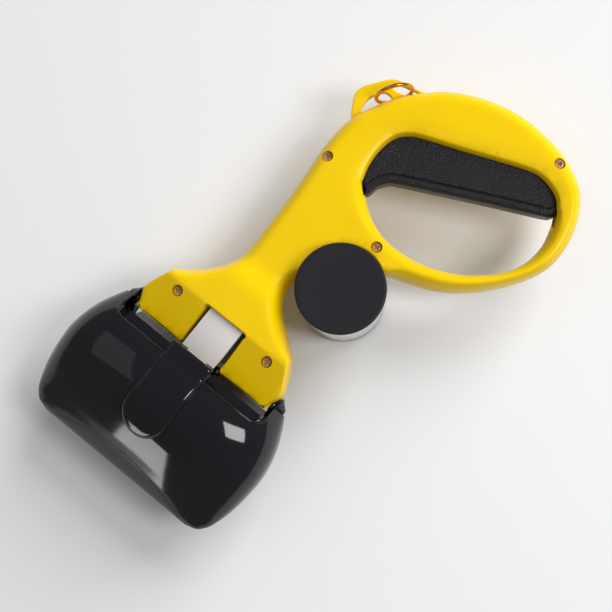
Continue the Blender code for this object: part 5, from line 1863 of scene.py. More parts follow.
    def other_half(self, sign: int) -> bmesh.types.BMesh:
        """Everything on one side of the parting line, half a gap clear of it.

        Args:
            sign: 1 for what is over the line and -1 for what is under.

        Returns:
            The solid to cut.
        """
        bm = bmesh.new()
        steps = self.parting_steps
        width = self.half_width + OVERRUN
        reach = self.length + 2 * OVERRUN
        xs = [-self.front - OVERRUN + reach * i / steps for i in range(steps + 1)]
        ys = [width * (2 * j / steps - 1) for j in range(steps + 1)]
        far = sign * (self.height + self.pad_rise + 2 * OVERRUN)
        near = [
            [bm.verts.new((x, y, self.parting(x, y) - sign * GAP / 2)) for y in ys] for x in xs
        ]
        away = [[bm.verts.new((x, y, far)) for y in ys] for x in xs]
        for i in range(steps):
            for j in range(steps):
                for grid in (near, away):
                    bm.faces.new((grid[i][j], grid[i + 1][j], grid[i + 1][j + 1], grid[i][j + 1]))
        for i in range(steps):
            for j in (0, steps):
                bm.faces.new((near[i][j], near[i + 1][j], away[i + 1][j], away[i][j]))
                bm.faces.new((near[j][i], near[j][i + 1], away[j][i + 1], away[j][i]))
        turn_outwards(bm, bm.faces[:])
        return bm

    def cutout_path(self, step: float, out: float = 0.0) -> Path:
        """The rear cutout's rim in plan, from one ear round to the other.

        Args:
            step: about how far apart the points lie.
            out: how far outside the rim they lie.

        Returns:
            The points.
        """
        corner, near = self.cutout_round + out, -self.rear_reach - out
        half = self.cutout_half + out
        return [
            *arc_path((near + corner, half - corner), corner, QUARTER, HALF_TURN, step),
            *arc_path((near + corner, -half + corner), corner, HALF_TURN, 3 * QUARTER, step),
        ]

    def cutout(self) -> bmesh.types.BMesh:
        """The cutout at the rear that goes round the head.

        Returns:
            The solid to cut.
        """
        far, half = self.length, self.cutout_half
        outline = [(far, -half), (far, half), *self.cutout_path(self.rim_step)]
        height = self.height + self.pad_rise + OVERRUN
        bm = bmesh.new()
        add_prism(bm, outline, -height, height)
        return bm

    def pad_height(self, x: float, y: float) -> float:
        """Height of the raised pad: it follows the jaw and runs out level over the cutout."""
        return self.surface(min(x, -self.rear_reach), y / 2) + self.pad_rise

    def pad(self, sign: int) -> bmesh.types.BMesh:
        """The raised pad on the jaw's back, which reaches over the pull plate.

        Args:
            sign: 1 for the upper jaw and -1 for the lower.

        Returns:
            The solid to add.
        """
        half, step = self.pad_half, self.pad_step
        nose = (half - self.pad_front, 0.0)
        rear = -self.pad_rear
        outline, _ = tagged_loop(
            (
                (straight_path((rear, -half), (rear, half), step), 1.0),
                (straight_path((rear, half), (nose[0], half), step), 1.0),
                (arc_path(nose, half, QUARTER, 3 * QUARTER, step), 1.0),
                (straight_path((nose[0], -half), (rear, -half), step), 1.0),
            )
        )
        region = Region([outline], [np.full(len(outline), self.pad_edge)])

        def top(flat: np.ndarray, depth: np.ndarray) -> np.ndarray:
            """Height of the pad's back."""
            back = np.array([self.pad_height(x, y) for x, y in flat])
            return back - self.pad_edge * (1 - quarter_round(depth))

        def bottom(flat: np.ndarray, depth: np.ndarray) -> np.ndarray:
            """Height of the pad's underside."""
            return np.array([self.pad_height(x, y) for x, y in flat]) - self.pad_thickness

        inner = region.points(self.pad_ring_shares, step * RING_SPACING, 2 * step)
        bm = solid_between(region, inner, top, bottom)
        return bm if sign > 0 else flipped(bm)

    def crank_outline(self, radius: float) -> Path:
        """A round-ended link in the plane XZ, as long as the way the drive pin takes along it.

        Args:
            radius: the radius of its ends.

        Returns:
            The outline.
        """
        angle = math.atan2(self.crank, -self.travel / 2)
        longest = math.hypot(self.crank, self.travel / 2) + PLAY / 2
        shortest = self.crank - PLAY / 2
        points = []
        for middle, start in ((longest, angle - QUARTER), (shortest, angle + QUARTER)):
            for i in range(self.end_steps + 1):
                a = start + HALF_TURN * i / self.end_steps
                points.append(
                    (
                        middle * math.cos(angle) + radius * math.cos(a),
                        middle * math.sin(angle) + radius * math.sin(a),
                    )
                )
        return points

    def ear_span(self, sign: int) -> tuple[float, float]:
        """Where the ears stand along Y: the lower jaw's inside the upper jaw's stouter ones.

        Args:
            sign: 1 for the upper jaw and -1 for the lower.

        Returns:
            The ends of the ears on the +Y side.
        """
        inner = self.head_side + GAP
        if sign > 0:
            inner += self.ear_thickness + GAP
            return inner, inner + self.outer_ear_thickness
        return inner, inner + self.ear_thickness

    def lug_span(self, side: int) -> Point:
        """Where a lug stands along Y."""
        return span(side, self.lug_inner, self.lug_inner + self.lug_thickness)

    def arms(self, sign: int) -> bmesh.types.BMesh:
        """What carries the ears and the slotted lugs behind the jaw's rear wall.

        Args:
            sign: 1 for the upper jaw, whose ears also have shoulders, and -1 for the lower.

        Returns:
            The solids to add.
        """
        bm = bmesh.new()
        inner, ear_outer = self.ear_span(sign)
        outer = min(ear_outer, inner + self.ear_bar_thickness)
        rooted, back = -self.rear_reach - self.wall / 2, -self.travel / 2
        near, far = span(sign, GAP, self.ear_bar)
        arm = [
            (rooted, self.crank / 3), (back, self.crank - self.lug_radius / 2),
            (back, self.crank + self.lug_radius / 2), (rooted, self.crank + self.lug_radius),
        ]
        for side in SIDES:
            low, high = span(side, inner, outer)
            add_box(bm, (rooted, low, near), (0.0, high, far))
            if sign > 0:
                shoulder = [
                    (rooted, side * inner), (0.0, side * inner), (0.0, side * outer),
                    (-self.shoulder_start, side * outer),
                    (-self.shoulder_end, side * self.shoulder_side),
                    (rooted, side * self.shoulder_side),
                ]
                add_prism(bm, shoulder, GAP, self.ear_bar)
            add_side_prism(bm, arm, *self.lug_span(side), sign)
        return bm

    def rear_wall(self, sign: int) -> bmesh.types.BMesh:
        """The wall that closes the jaw behind its rim, as near to the head as the swing allows.

        The lower jaw's leans on under the head and hides the floor, and the upper one's ends low.

        Args:
            sign: 1 for the upper jaw and -1 for the lower.

        Returns:
            The solids to add.
        """
        bm = bmesh.new()
        rooted = -self.rear_reach - self.wall / 2
        lean = [(rooted, self.wall_foot), *self.rear_face]
        if sign < 0:
            lean += [*self.lower_lean, (rooted, self.lower_wall_top)]
        else:
            lean.append((rooted, self.upper_wall_top))
        inner = self.lug_inner + self.lug_thickness + GAP
        for side in SIDES:
            add_side_prism(bm, lean, *span(side, inner, self.head_side - GAP), sign)
        return bm

    def rounds(self, sign: int) -> bmesh.types.BMesh:
        """The round ends: the ears on the hinge pins and the lugs on the drive pin.

        Args:
            sign: 1 for the upper jaw, whose ears have one plain chamfer, and -1 for the lower.

        Returns:
            The solids to add.
        """
        bm = bmesh.new()
        inner, outer = self.ear_span(sign)
        link = self.crank_outline(self.lug_radius)
        chamfer, segments = self.ear_chamfer, self.ear_segments
        if sign > 0:
            chamfer, segments = self.outer_ear_chamfer, 1
        for side in SIDES:
            ends = ((0.0, side * inner, 0.0), (0.0, side * outer, 0.0))
            ear = add_cylinder(bm, *ends, self.ear_radius, self.round_sides)
            bmesh.ops.bevel(
                bm, geom=end_edges(ear, outer - chamfer),
                offset=chamfer, segments=segments, profile=0.5, affect="EDGES",
            )
            add_side_prism(bm, link, *self.lug_span(side), sign)
        return bm

    def trims(self, with_ear_room: bool) -> bmesh.types.BMesh:
        """Room round the hinge.

        Args:
            with_ear_room: whether it is the lower jaw's room for the upper one's ears, and not
                the end of the flanks behind the hinge.

        Returns:
            The solids to cut.
        """
        bm = bmesh.new()
        half = self.height + OVERRUN
        for side in SIDES:
            low, high = span(side, self.cutout_half - OVERRUN, self.half_width + OVERRUN)
            if with_ear_room:
                ends = ((0.0, low, 0.0), (0.0, high, 0.0))
                add_cylinder(bm, *ends, self.ear_radius + PLAY, self.round_sides)
            else:
                add_box(bm, (0.0, low, -half), (self.length, high, half))
        return bm

    def holes(self, sign: int) -> bmesh.types.BMesh:
        """Holes of the hinge pins and the slot of the drive pin.

        Args:
            sign: 1 for the upper jaw and -1 for the lower.

        Returns:
            The solids to cut.
        """
        bm = bmesh.new()
        for side in SIDES:
            low, high = span(side, self.head_side, self.half_width)
            add_cylinder(bm, (0.0, low, 0.0), (0.0, high, 0.0), PIN_RADIUS + GAP / 2)
        slot = self.crank_outline(DRIVE_RADIUS + PLAY / 2)
        add_side_prism(bm, slot, -self.slot_half, self.slot_half, sign)
        return bm

    def bead(self, name: str, sign: int) -> bpy.types.Object:
        """The bead along the cutout's rim, swept by Geometry Nodes along the rim's curve.

        Args:
            name: the piece's name.
            sign: 1 for the upper jaw and -1 for the lower.

        Returns:
            The bead, in the tool frame.
        """
        out, sink = (self.bead_radius * s for s in (self.bead_out_share, self.bead_sink_share))
        end = self.pad_half - self.bead_overlap
        path = [(x, y) for x, y in self.cutout_path(self.bead_step, out) if abs(y) > end]
        recipe = Recipe(name, {"Bead Radius": self.bead_radius})
        joined = recipe.node("GeometryNodeJoinGeometry", {}, {})
        for side in SIDES:
            line = [(x, y) for x, y in path if y * side > 0]
            if abs(line[0][1]) < abs(line[-1][1]):
                line.reverse()
            near = (-self.rear_reach - out, side * end)
            line += straight_path(line[-1], near, self.bead_end_step)[1:]
            curve = recipe.line((x, y, sign * (self.surface(x, y) - sink)) for x, y in line)
            rod = recipe.rod(curve, "Bead Radius", self.bead_sides)
            recipe.tree.links.new(rod.outputs[0], joined.inputs[0])
        return recipe.cook(joined.outputs[0], self.shop.material(JAW_BLACK))

    def build(self) -> None:
        """Builds and delivers both jaws."""
        rear = self.length - self.front
        for side, node, body in (
            (Side.UPPER, "upper_jaw", "upper_scoop"),
            (Side.LOWER, "lower_jaw", "lower_scoop"),
        ):
            sign = side.value
            jaw = new_object(
                "scoop_" + node, self.tube(-self.front, rear, 0.0, self.stations, self.sides)
            )
            inside = self.tube(
                -self.front + 2 * self.wall, -self.rear_reach - self.wall, self.wall,
                self.inner_stations, self.inner_sides,
            )
            steps = [
                (inside, Join.CUT),
                (self.other_half(-sign), Join.CUT),
                (self.cutout(), Join.CUT),
                (self.trims(False), Join.CUT),
            ]
            if side is Side.LOWER:
                steps.append((self.trims(True), Join.CUT))
            steps += [
                (self.pad(sign), Join.ADD),
                (self.arms(sign), Join.ADD),
                (self.rear_wall(sign), Join.ADD),
                (self.rounds(sign), Join.ADD),
                (self.holes(sign), Join.CUT),
            ]
            carve(jaw, steps)
            self.shop.deliver(jaw, JAW_BLACK, body, [node], soft_angle=38.0)
            bead = self.bead("rim_bead_" + node, sign)
            self.shop.deliver(bead, JAW_BLACK, body, [])


@dataclass
class Trigger:
    """The black finger lever in the loop: a flat side face with a rounded bead for the fingers."""

    shop: Workshop
    half_thickness: float = 0.0064
    edge: float = 0.0024
    bead_width: float = 0.0050
    groove_half: float = 0.0009
    groove_depth: float = 0.0006
    groove_trim: int = 3
    lift: float = 0.0011
    lift_way: Point = (-0.57, 0.82)
    arm_half_thickness: float = 0.0027
    arm_half_width: float = 0.0042
    eye_radius: float = 0.0048
    eye_start: float = math.radians(-100)
    bore_half: float = 0.0090
    nose_step: float = 0.0008
    step: float = 0.0012
    field_step: float = 0.0016

    finger_shares = (
        (-0.560, 0.709), (-0.556, 0.694), (-0.535, 0.684), (-0.505, 0.680), (-0.480, 0.668),
        (-0.452, 0.645), (-0.430, 0.605), (-0.337, 0.410), (-0.240, 0.205), (-0.150, 0.010),
        (-0.120, -0.036), (-0.075, -0.052),
    )
    back_shares = (
        (0.046, 0.010), (0.020, 0.110), (-0.022, 0.290), (-0.090, 0.490), (-0.150, 0.660),
        (-0.200, 0.745), (-0.290, 0.800), (-0.390, 0.812), (-0.480, 0.795), (-0.540, 0.755),
    )
    ring_shares = (0.05, 0.15, 0.3, 0.5, 0.75, 1.0)
    lane_shares = (-1.3, -1, -0.5, 0, 0.5, 1, 1.3)
    rise_shares = (0.05, 0.25)
    fall_shares = (0.80, 0.97)
    groove_start_shares = (0.6, 1.2)
    groove_power = 1.5

    def __post_init__(self) -> None:
        """Works out the length that the outlines are shares of."""
        self.length = math.dist(TRIGGER_PIVOT, TRIGGER_DRIVE)

    def lifted(self, finger: Path) -> Path:
        """The finger edge moved towards the lever's back, easing in from both of its ends.

        Args:
            finger: the edge.

        Returns:
            The moved edge.
        """
        count = len(finger)
        rise = Vector(self.lift_way) * -self.lift
        along = np.arange(count) / count
        shares = smoothstep(along, *self.rise_shares) * (1 - smoothstep(along, *self.fall_shares))
        return [(x + rise.x * k, y + rise.y * k) for (x, y), k in zip(finger, shares)]

    def blade(self) -> bmesh.types.BMesh:
        """The flat lever with its bead, set off by a groove.

        Returns:
            The solid.
        """
        finger = smooth_path(scaled(self.finger_shares, self.length, TRIGGER_PIVOT), self.step)
        finger = self.lifted(finger)
        back = smooth_path(scaled(self.back_shares, self.length, TRIGGER_PIVOT), self.step)
        eye = arc_path(TRIGGER_PIVOT, self.eye_radius, self.eye_start, 0.0, self.step)
        outline, _ = tagged_loop(((finger, 1.0), (eye, 1.0), (back, 1.0)))
        region = Region([outline], [np.full(len(outline), self.edge)])
        line = np.array(finger)
        inwards = region.inwards(region.loops[0])[: len(line)]

        def top(flat: np.ndarray, depth: np.ndarray) -> np.ndarray:
            """Height of the side face."""
            away = np.full(len(flat), np.inf)
            for a, b in zip(line, line[1:]):
                t = np.clip(((flat - a) @ (b - a)) / ((b - a) @ (b - a)), 0.0, 1.0)
                away = np.minimum(away, np.linalg.norm(flat - a - t[:, None] * (b - a), axis=1))
            groove = 1 - np.clip(abs(away - self.bead_width) / self.groove_half, 0.0, 1.0)
            fall = self.groove_depth * groove ** self.groove_power
            fall *= smoothstep(depth, *self.groove_start_shares)
            return self.half_thickness - fall - self.edge * (1 - quarter_round(depth))

        def bottom(flat: np.ndarray, depth: np.ndarray) -> np.ndarray:
            """Height of the other side face."""
            return -top(flat, depth)

        lanes = [self.bead_width + self.groove_half * share for share in self.lane_shares]
        kept = slice(self.groove_trim, -self.groove_trim)
        groove = [tuple(p) for lane in lanes for p in line[kept] + inwards[kept] * lane]
        least = self.step * RING_SPACING
        inner = region.points(self.ring_shares, least, self.field_step, groove)
        return solid_between(region, inner, top, bottom)

    def arm(self) -> bmesh.types.BMesh:
        """The arm from the lever's end to the drive pin.

        Returns:
            The solid.
        """
        bm = bmesh.new()
        root = Vector(scaled((self.back_shares[-2],), self.length, TRIGGER_PIVOT)[0])
        run = root - Vector(TRIGGER_DRIVE)
        across = Vector((-run.y, run.x)).normalized() * self.arm_half_width
        turn = math.atan2(run.y, run.x) + QUARTER
        width, end = self.arm_half_width, turn + HALF_TURN
        nose = arc_path(TRIGGER_DRIVE, width, turn, end, self.nose_step)
        outline = [*nose, tuple(root - across), tuple(root + across)]
        add_prism(bm, outline, -self.arm_half_thickness, self.arm_half_thickness)
        return bm

    def build(self) -> None:
        """Builds and delivers the trigger."""
        lever = new_object("finger_lever", self.blade())
        cuts = bmesh.new()
        for place, radius in ((TRIGGER_PIVOT, PIN_RADIUS), (TRIGGER_DRIVE, DRIVE_RADIUS)):
            ends = ((*place, -self.bore_half), (*place, self.bore_half))
            add_cylinder(cuts, *ends, radius + GAP / 2)
        carve(lever, [(self.arm(), Join.ADD), (cuts, Join.CUT)])
        self.shop.deliver(
            lever, TRIGGER_BLACK, "squeeze_trigger", ["trigger"], soft_angle=40.0
        )


@dataclass
class Linkage:
    """The white pull yoke, the steel pins and the return spring."""

    shop: Workshop
    spring_wire: float = 0.0006
    spring_radius: float = 0.0056
    spring_turns: int = 11
    spring_start: float = 0.0419
    spring_end: float = 0.0836
    spring_anchor: float = 0.0845
    spring_keep: float = 0.71
    cover_low: Place = (-0.0036, -0.0110, 0.0144)
    cover_high: Place = (0.0245, 0.0110, 0.0151)
    cover_edge: float = 0.0002
    chamfer: float = 0.0003
    hinge_inner: float = 0.0087
    hinge_outer: float = 0.0055
    drive_half: float = 0.0103
    trigger_pivot_half: float = 0.0077
    trigger_drive_half: float = 0.0066
    pin_sides: int = 32
    wire_sides: int = 12
    turn_steps: int = 40

    def pin(self, name: str, start: Place, end: Place, radius: float) -> bpy.types.Object:
        """A turned pin with chamfered ends, swept along its axis by Geometry Nodes.

        Args:
            name: the piece's name.
            start: the middle of one end.
            end: the middle of the other.
            radius: its radius.

        Returns:
            The pin, in the tool frame.
        """
        recipe = Recipe(name, {"Radius": radius})
        line = Vector(end) - Vector(start)
        share = self.chamfer / line.length
        curve = recipe.line(Vector(start) + line * t for t in (0.0, share, 1 - share, 1.0))
        index = recipe.node("GeometryNodeInputIndex", {}, {})
        middle, within = 1.5, 0.6
        inner = recipe.node(
            "ShaderNodeMath", {"operation": "COMPARE"}, {0: index.outputs[0], 1: middle, 2: within}
        )
        width = recipe.node(
            "ShaderNodeMapRange", {},
            {"Value": inner.outputs[0], "To Min": 1.0 - self.chamfer / radius, "To Max": 1.0},
        )
        narrowed = recipe.node(
            "GeometryNodeSetCurveRadius", {}, {0: curve, "Radius": width.outputs[0]}
        )
        rod = recipe.rod(narrowed.outputs[0], "Radius", self.pin_sides)
        if "Scale" in rod.inputs:
            scale = recipe.node("GeometryNodeInputRadius", {}, {})
            recipe.tree.links.new(scale.outputs[0], rod.inputs["Scale"])
        return recipe.cook(rod.outputs[0], self.shop.material(STEEL))

    def pins(self) -> None:
        """Builds and delivers the six pins."""
        start, end = HEAD_SIDE - self.hinge_inner, HEAD_SIDE + self.hinge_outer
        back, half = -TRAVEL / 2, self.drive_half
        rows = [
            (f"{name}_hinge_pin", "housing", (0, side * start, 0), (0, side * end, 0), PIN_RADIUS)
            for name, side in (("left", 1), ("right", -1))
        ]
        rows += [
            (f"{name}_drive_pin", "yoke", (back, -half, height), (back, half, height), DRIVE_RADIUS)
            for name, height in (("upper", CRANK), ("lower", -CRANK))
        ]
        rows += [
            (f"trigger_{name}_pin", body, (*place, -half), (*place, half), radius)
            for name, body, place, half, radius in (
                ("pivot", "housing", TRIGGER_PIVOT, self.trigger_pivot_half, PIN_RADIUS),
                ("drive", "squeeze_trigger", TRIGGER_DRIVE, self.trigger_drive_half, DRIVE_RADIUS),
            )
        ]
        for node, body, first, last, radius in rows:
            self.shop.deliver(self.pin("turned_" + node, first, last, radius), STEEL, body, [node])

    def spring(self) -> None:
        """Builds and delivers the return spring, a spiral swept by Geometry Nodes."""
        recipe = Recipe(
            "coiled_return_spring",
            {"Wire Radius": self.spring_wire, "Coil Radius": self.spring_radius,
             "Length": self.spring_end - self.spring_start},
        )
        spiral = recipe.node(
            "GeometryNodeCurveSpiral", {},
            {"Resolution": self.turn_steps, "Rotations": float(self.spring_turns),
             "Start Radius": recipe.size("Coil Radius"), "End Radius": recipe.size("Coil Radius"),
             "Height": recipe.size("Length")},
        )
        rod = recipe.rod(spiral.outputs[0], "Wire Radius", self.wire_sides)
        laid = recipe.node(
            "GeometryNodeTransform", {},
            {0: rod.outputs[0], "Translation": (self.spring_start, 0.0, 0.0),
             "Rotation": (0.0, QUARTER, 0.0)},
        )
        obj = recipe.cook(laid.outputs[0], self.shop.material(STEEL))
        self.shop.deliver(obj, STEEL, "housing", ["return_spring"])
        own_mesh(obj)

    def cover(self) -> None:
        """Builds and delivers the thin white plate that closes the yoke's top over the lugs."""
        bm = bmesh.new()
        add_box(bm, self.cover_low, self.cover_high)
        bmesh.ops.bevel(
            bm, geom=list(bm.edges), offset=self.cover_edge, segments=2, profile=0.5, affect="EDGES"
        )
        self.shop.deliver(new_object("yoke_cover", bm), PULL_WHITE, "yoke", [])

    def build(self, yoke: bpy.types.Object) -> None:
        """Dresses the yoke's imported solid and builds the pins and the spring.

        Args:
            yoke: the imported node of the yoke.
        """
        self.shop.dress_node(yoke, PULL_WHITE)
        self.pins()
        self.spring()
        self.cover()


@dataclass
class Dispenser:
    """The bag dispenser in the notch: chrome sleeve, black cap and base, and the bag roll."""

    shop: Workshop
    roll_place: Point = (0.071198, -0.0394)
    radius: float = 0.0243
    wall: float = 0.0012
    top: float = 0.0212
    floor: float = -0.0366
    screw: Point = (0.1032, -0.0388)
    screw_hole: float = 0.00155
    tab_reaches: Point = (0.00345, 0.0288)
    tab_half_width: float = 0.0052
    tab_half_thickness: float = 0.0016
    rim_rounds: tuple[float, ...] = (0.0003, 0.0004, 0.0005, 0.0004)
    cap_radius: float = 0.0248
    cap_thickness: float = 0.0026
    cap_round: float = 0.0011
    cap_steps: int = 8
    cap_foot: float = 0.0004
    face_sink: float = 0.00010
    face_shares: Point = (0.86, 0.90)
    skirt_wall: float = 0.0016
    skirt_depth: float = 0.0060
    base_thickness: float = 0.0026
    base_chamfer: float = 0.0005
    spigot_height: float = 0.0040
    spindle_radius: float = 0.0060
    spindle_tip: float = 0.0049
    port_outer: float = 0.0200
    port_inner: float = 0.0140
    port_half: float = math.radians(40)
    roll_length: float = 0.044
    roll_start: float = 0.0084
    roll_end: float = 0.0194
    film: float = 0.0007
    turns: int = 9
    turn_steps: int = 48
    core_inner: float = 0.0068
    core_outer: float = 0.0080
    core_round: float = 0.0002
    base_sides: int = 160
    inner_sides: int = 72
    port_step: float = 0.0009

    def turned(
        self, name: str, profile: Sequence[Point], place: Point = DISPENSER_PLACE, sides: int = 192
    ) -> bpy.types.Object:
        """A turned piece, in the tool frame.

        Args:
            name: its name.
            profile: its (radius, height) points.
            place: where its axis stands.
            sides: the number of points round it.

        Returns:
            The piece.
        """
        bm = bmesh.new()
        add_turned(bm, profile, place, sides)
        return new_object(name, bm)

    def sleeve(self) -> None:
        """Builds and delivers the chrome sleeve, rolled at its upper rim, with its two tabs."""
        inner, outer = self.radius - self.wall, self.radius
        low, high = self.floor + self.base_thickness + GAP, self.top - GAP
        corners = ((inner, low), (outer, low), (outer, high), (inner, high))
        profile = rounded_profile([(*corner, r) for corner, r in zip(corners, self.rim_rounds)])
        sleeve = self.turned("chrome_sleeve", profile)
        half = self.tab_half_thickness
        tabs = bmesh.new()
        size = (self.radius - self.wall / 2, self.tab_half_width, half)
        add_tabs(tabs, self.screw, self.tab_reaches, size, -half)
        hole = bmesh.new()
        ends = ((*self.screw, -half - OVERRUN), (*self.screw, half + OVERRUN))
        add_cylinder(hole, *ends, self.screw_hole)
        carve(sleeve, [(tabs, Join.ADD), (hole, Join.CUT)])
        self.shop.deliver(sleeve, CHROME, "housing", ["dispenser_sleeve"])

    def cap(self) -> None:
        """Builds and delivers the cap: a flat disc with a rounded rim, and its skirt."""
        over, low = self.top + self.cap_thickness, self.top - self.skirt_depth
        outer = self.radius - self.wall - GAP
        inner = outer - self.skirt_wall
        face, rim = (self.cap_radius * share for share in self.face_shares)
        turns = [QUARTER * i / self.cap_steps for i in range(self.cap_steps + 1)]
        curve = scaled(
            [(math.sin(a) - 1, math.cos(a) - 1) for a in turns],
            self.cap_round, (self.cap_radius, over),
        )
        profile = [
            (0.0, over - self.face_sink), (face, over - self.face_sink), (rim, over), *curve,
            (self.cap_radius, self.top + self.cap_foot),
            (self.cap_radius - self.cap_foot, self.top),
            (outer, self.top), (outer, low), (inner, low), (inner, self.top), (0.0, self.top),
        ]
        cap = self.turned("dispenser_lid", profile)
        self.shop.deliver(cap, CAP_BLACK, "cap", ["dispenser_cap"])

    def base(self) -> None:
        """Builds and delivers the base with its spigot, its spindle and the bags' port."""
        low, high = self.floor, self.floor + self.base_thickness
        outer = self.radius - self.wall - GAP
        inner, top = outer - self.skirt_wall, high + self.spigot_height
        profile = (
            (0.0, low), (self.radius - self.base_chamfer, low),
            (self.radius, low + self.base_chamfer), (self.radius, high),
            (outer, high), (outer, top), (inner, top), (inner, high), (0.0, high),
        )
        base = self.turned("dispenser_foot", profile, sides=self.base_sides)
        tip, foot, radius = high + self.roll_length, high - GAP, self.spindle_radius
        post = bmesh.new()
        profile = (
            (0.0, foot), (radius, foot), (radius, tip - WALL), (self.spindle_tip, tip), (0.0, tip)
        )
        add_turned(post, profile, self.roll_place, self.inner_sides)
        port = bmesh.new()
        half = self.port_half
        outline = arc_path(DISPENSER_PLACE, self.port_outer, half, -half, self.port_step)
        outline += arc_path(DISPENSER_PLACE, self.port_inner, -half, half, self.port_step)
        add_prism(port, outline, low - OVERRUN, high + OVERRUN)
        carve(base, [(post, Join.ADD), (port, Join.CUT)])
        self.shop.deliver(base, CAP_BLACK, "housing", ["dispenser_base"])

    def roll(self) -> None:
        """Builds and delivers the bag roll on its card core, wound as one spiral."""
        low = self.floor + self.base_thickness + GAP
        high = low + self.roll_length
        count = self.turns * self.turn_steps
        start, run = self.roll_start + self.film, self.roll_end - self.roll_start - self.film
        path = [
            (start + run * i / count, FULL_TURN * self.turns * i / count) for i in range(count + 1)
        ]
        lines = [
            [((r - inset) * math.cos(a), (r - inset) * math.sin(a)) for r, a in path]
            for inset in (0.0, self.film)
        ]
        outer, inner = (scaled(line, 1.0, self.roll_place) for line in lines)
        bm = bmesh.new()
        rings = [
            [bm.verts.new((x, y, z)) for x, y in line]
            for line, z in ((outer, low), (outer, high), (inner, high), (inner, low))
        ]
        for near, far in zip(rings, rings[1:] + rings[:1]):
            bridge(bm, near, far, False)
        bm.faces.new([ring[0] for ring in rings])
        bm.faces.new([ring[-1] for ring in rings][::-1])
        turn_outwards(bm, bm.faces[:])
        self.shop.deliver(new_object("wound_bag_roll", bm), BAG_FILM, "roll", ["bag_roll"])
        radii, heights = (self.core_inner, self.core_outer), (low, high)
        corners = ((radii[0], low), (radii[1], low), (radii[1], high), (radii[0], high))
        profile = rounded_profile([(*corner, self.core_round) for corner in corners])
        core = self.turned("card_core", profile, self.roll_place, self.inner_sides)
        self.shop.deliver(core, CARD, "roll", ["roll_core"])

    def build(self) -> None:
        """Builds the dispenser's pieces."""
        self.sleeve()
        self.cap()
        self.base()
        self.roll()


@dataclass
class KeyRing:
    """The gold ring through the eyelet plate."""

    shop: Workshop
    radius: float = 0.0104
    wire: float = 0.00120
    centre: Place = (0.178151, 0.007830, 0.004299)
    yaw: float = math.radians(-38.3)
    tilt: float = math.radians(81.6)
    sides: int = 128
    wire_sides: int = 24

    def build(self) -> None:
        """Builds the ring with Geometry Nodes and delivers it."""
        recipe = Recipe("gold_ring", {"Ring Radius": self.radius, "Wire Radius": self.wire})
        circle = recipe.circle("Ring Radius", self.sides)
        rod = recipe.rod(circle, "Wire Radius", self.wire_sides)
        obj = recipe.cook(rod.outputs[0], self.shop.material(GOLD))
        turn = Matrix.Rotation(self.yaw, 4, "Z") @ Matrix.Rotation(self.tilt, 4, "X")
        obj.data.transform(Matrix.Translation(self.centre) @ turn)
        self.shop.deliver(obj, GOLD, "ring", ["key_ring"], soft_angle=80.0)


# Studio


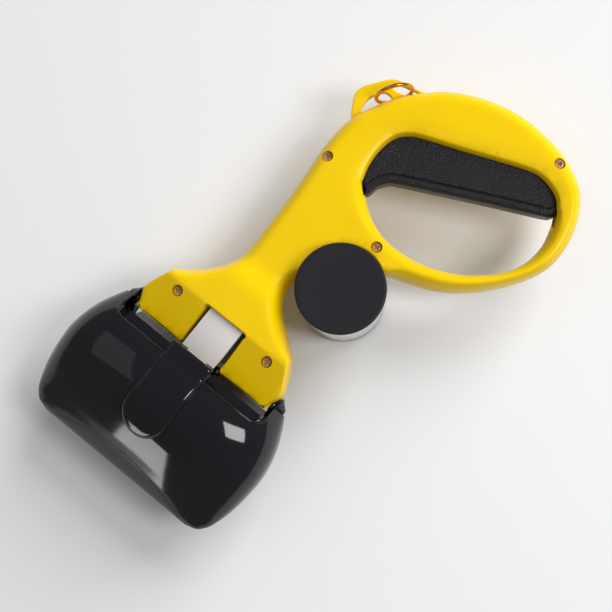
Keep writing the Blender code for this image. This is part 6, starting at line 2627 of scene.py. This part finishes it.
@dataclass
class Studio:
    """The pale floor, the soft light and the camera."""

    shop: Workshop
    image: float = 612.0
    focal: float = 1090.0
    height: float = 0.60
    foot: Point = (370.0, 415.0)
    mark: Point = (180.0, 385.0)
    mark_place: Place = (-0.023, 0.0, 0.0)
    heading: float = math.atan2(0.783, 0.623)
    sensor: float = 36.0
    floor_half: float = 3.0
    room_light: float = 0.19
    room_colour: Colour = (1.0, 1.0, 1.02, 1)
    paper: Colour = (0.80, 0.80, 0.81, 1)
    paper_cloud: Colour = (0.83, 0.83, 0.835, 1)
    paper_clouds: float = 2.5
    paper_roughness: float = 0.7
    paper_specular: float = 0.2

    def camera(self) -> None:
        """Places the camera over the plane between the shells.

        The foot is the pixel straight under the camera, and the mark is the pixel of a known
        place on the tool. The heading is the tool's +X in the image's own ground directions.
        """
        middle = self.image / 2
        foot, mark = (
            Vector((x - middle, middle - y, -self.focal)) for x, y in (self.foot, self.mark)
        )
        level_turn = foot.normalized().rotation_difference(Vector((0, 0, -1))).to_matrix()
        ray = level_turn @ mark
        eye = Vector((0.0, 0.0, self.height))
        anchor = eye + ray * (-self.height / ray.z)
        turn = Matrix.Rotation(-self.heading, 3, "Z")
        place = self.shop.origin + Vector(self.mark_place) + turn @ (eye - anchor)
        data = bpy.data.cameras.new("camera")
        data.sensor_width = self.sensor
        data.lens = self.sensor * self.focal / self.image
        camera = bpy.data.objects.new("camera", data)
        camera.matrix_world = Matrix.Translation(place) @ (turn @ level_turn).to_4x4()
        bpy.context.scene.collection.objects.link(camera)
        bpy.context.scene.camera = camera
        self.ground_turn = turn
        LOG.info("camera at %s", tuple(round(v, 3) for v in place))

    def lamp(
        self, name: str, heading: float, rise: float, reach: float, size: Point, power: float,
        in_gloss: bool = True,
    ) -> None:
        """Adds a soft light that points at the tool.

        Args:
            name: its name.
            heading: its direction over the floor, in degrees from the image's right to its up.
            rise: its height over the floor, in degrees.
            reach: its distance.
            size: its width and height.
            power: its power in watts.
            in_gloss: whether glossy surfaces show it.
        """
        data = bpy.data.lights.new(name, "AREA")
        data.shape = "RECTANGLE"
        data.size, data.size_y = size
        data.energy = power
        lamp = bpy.data.objects.new(name, data)
        turn, lift = math.radians(heading), math.radians(rise)
        place = self.ground_turn @ Vector(
            (math.cos(turn) * math.cos(lift), math.sin(turn) * math.cos(lift), math.sin(lift))
        )
        lamp.location = place * reach
        lamp.rotation_euler = (-place).to_track_quat("-Z", "Y").to_euler()
        lamp.visible_glossy = in_gloss
        bpy.context.scene.collection.objects.link(lamp)

    def world(self) -> None:
        """Sets a dim, even room light."""
        world = bpy.data.worlds.new("room")
        world.use_nodes = True
        background = world.node_tree.nodes["Background"]
        background.inputs["Color"].default_value = self.room_colour
        background.inputs["Strength"].default_value = self.room_light
        bpy.context.scene.world = world

    def ground(self) -> None:
        """Lays the pale floor."""
        bm = bmesh.new()
        corners = scaled(((-1, -1), (1, -1), (1, 1), (-1, 1)), self.floor_half)
        bm.faces.new([bm.verts.new((x, y, 0.0)) for x, y in corners])
        floor = new_object("floor", bm)
        shader = Shader("floor_paper")
        shader.dress(
            Base_Color=shader.blend(
                shader.noise(self.paper_clouds), self.paper, self.paper_cloud
            ),
            Roughness=self.paper_roughness,
            Specular_IOR_Level=self.paper_specular,
        )
        floor.data.materials.append(shader.material)

    def build(self) -> None:
        """Sets up camera, light and floor."""
        bpy.context.scene.view_settings.view_transform = "Standard"
        self.camera()
        self.world()
        self.lamp("key", heading=-9.0, rise=54.0, reach=1.7, size=(0.50, 0.70), power=11.0)
        self.lamp(
            "panel", heading=47.0, rise=33.0, reach=3.6, size=(2.4, 2.4), power=126.0,
            in_gloss=False,
        )
        self.lamp("sheen", heading=152.0, rise=53.0, reach=1.8, size=(1.3, 1.0), power=1.4)
        self.lamp(
            "fill", heading=200.0, rise=75.0, reach=1.9, size=(1.8, 1.8), power=3.0,
            in_gloss=False,
        )
        self.lamp("window", heading=225.0, rise=9.0, reach=1.5, size=(0.22, 0.45), power=1.6)
        self.ground()


def main() -> None:
    """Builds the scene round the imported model."""
    logging.basicConfig(level=logging.INFO, format="%(name)s: %(message)s")
    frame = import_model()
    shop = Workshop()
    Studio(shop).build()
    body = Body(shop)
    body.build()
    CaseScrews(shop, body).build()
    Jaws(shop).build()
    Trigger(shop).build()
    Linkage(shop).build(frame["nodes"]["pull_yoke"])
    Dispenser(shop).build()
    KeyRing(shop).build()


if __name__ == "__main__":
    main()
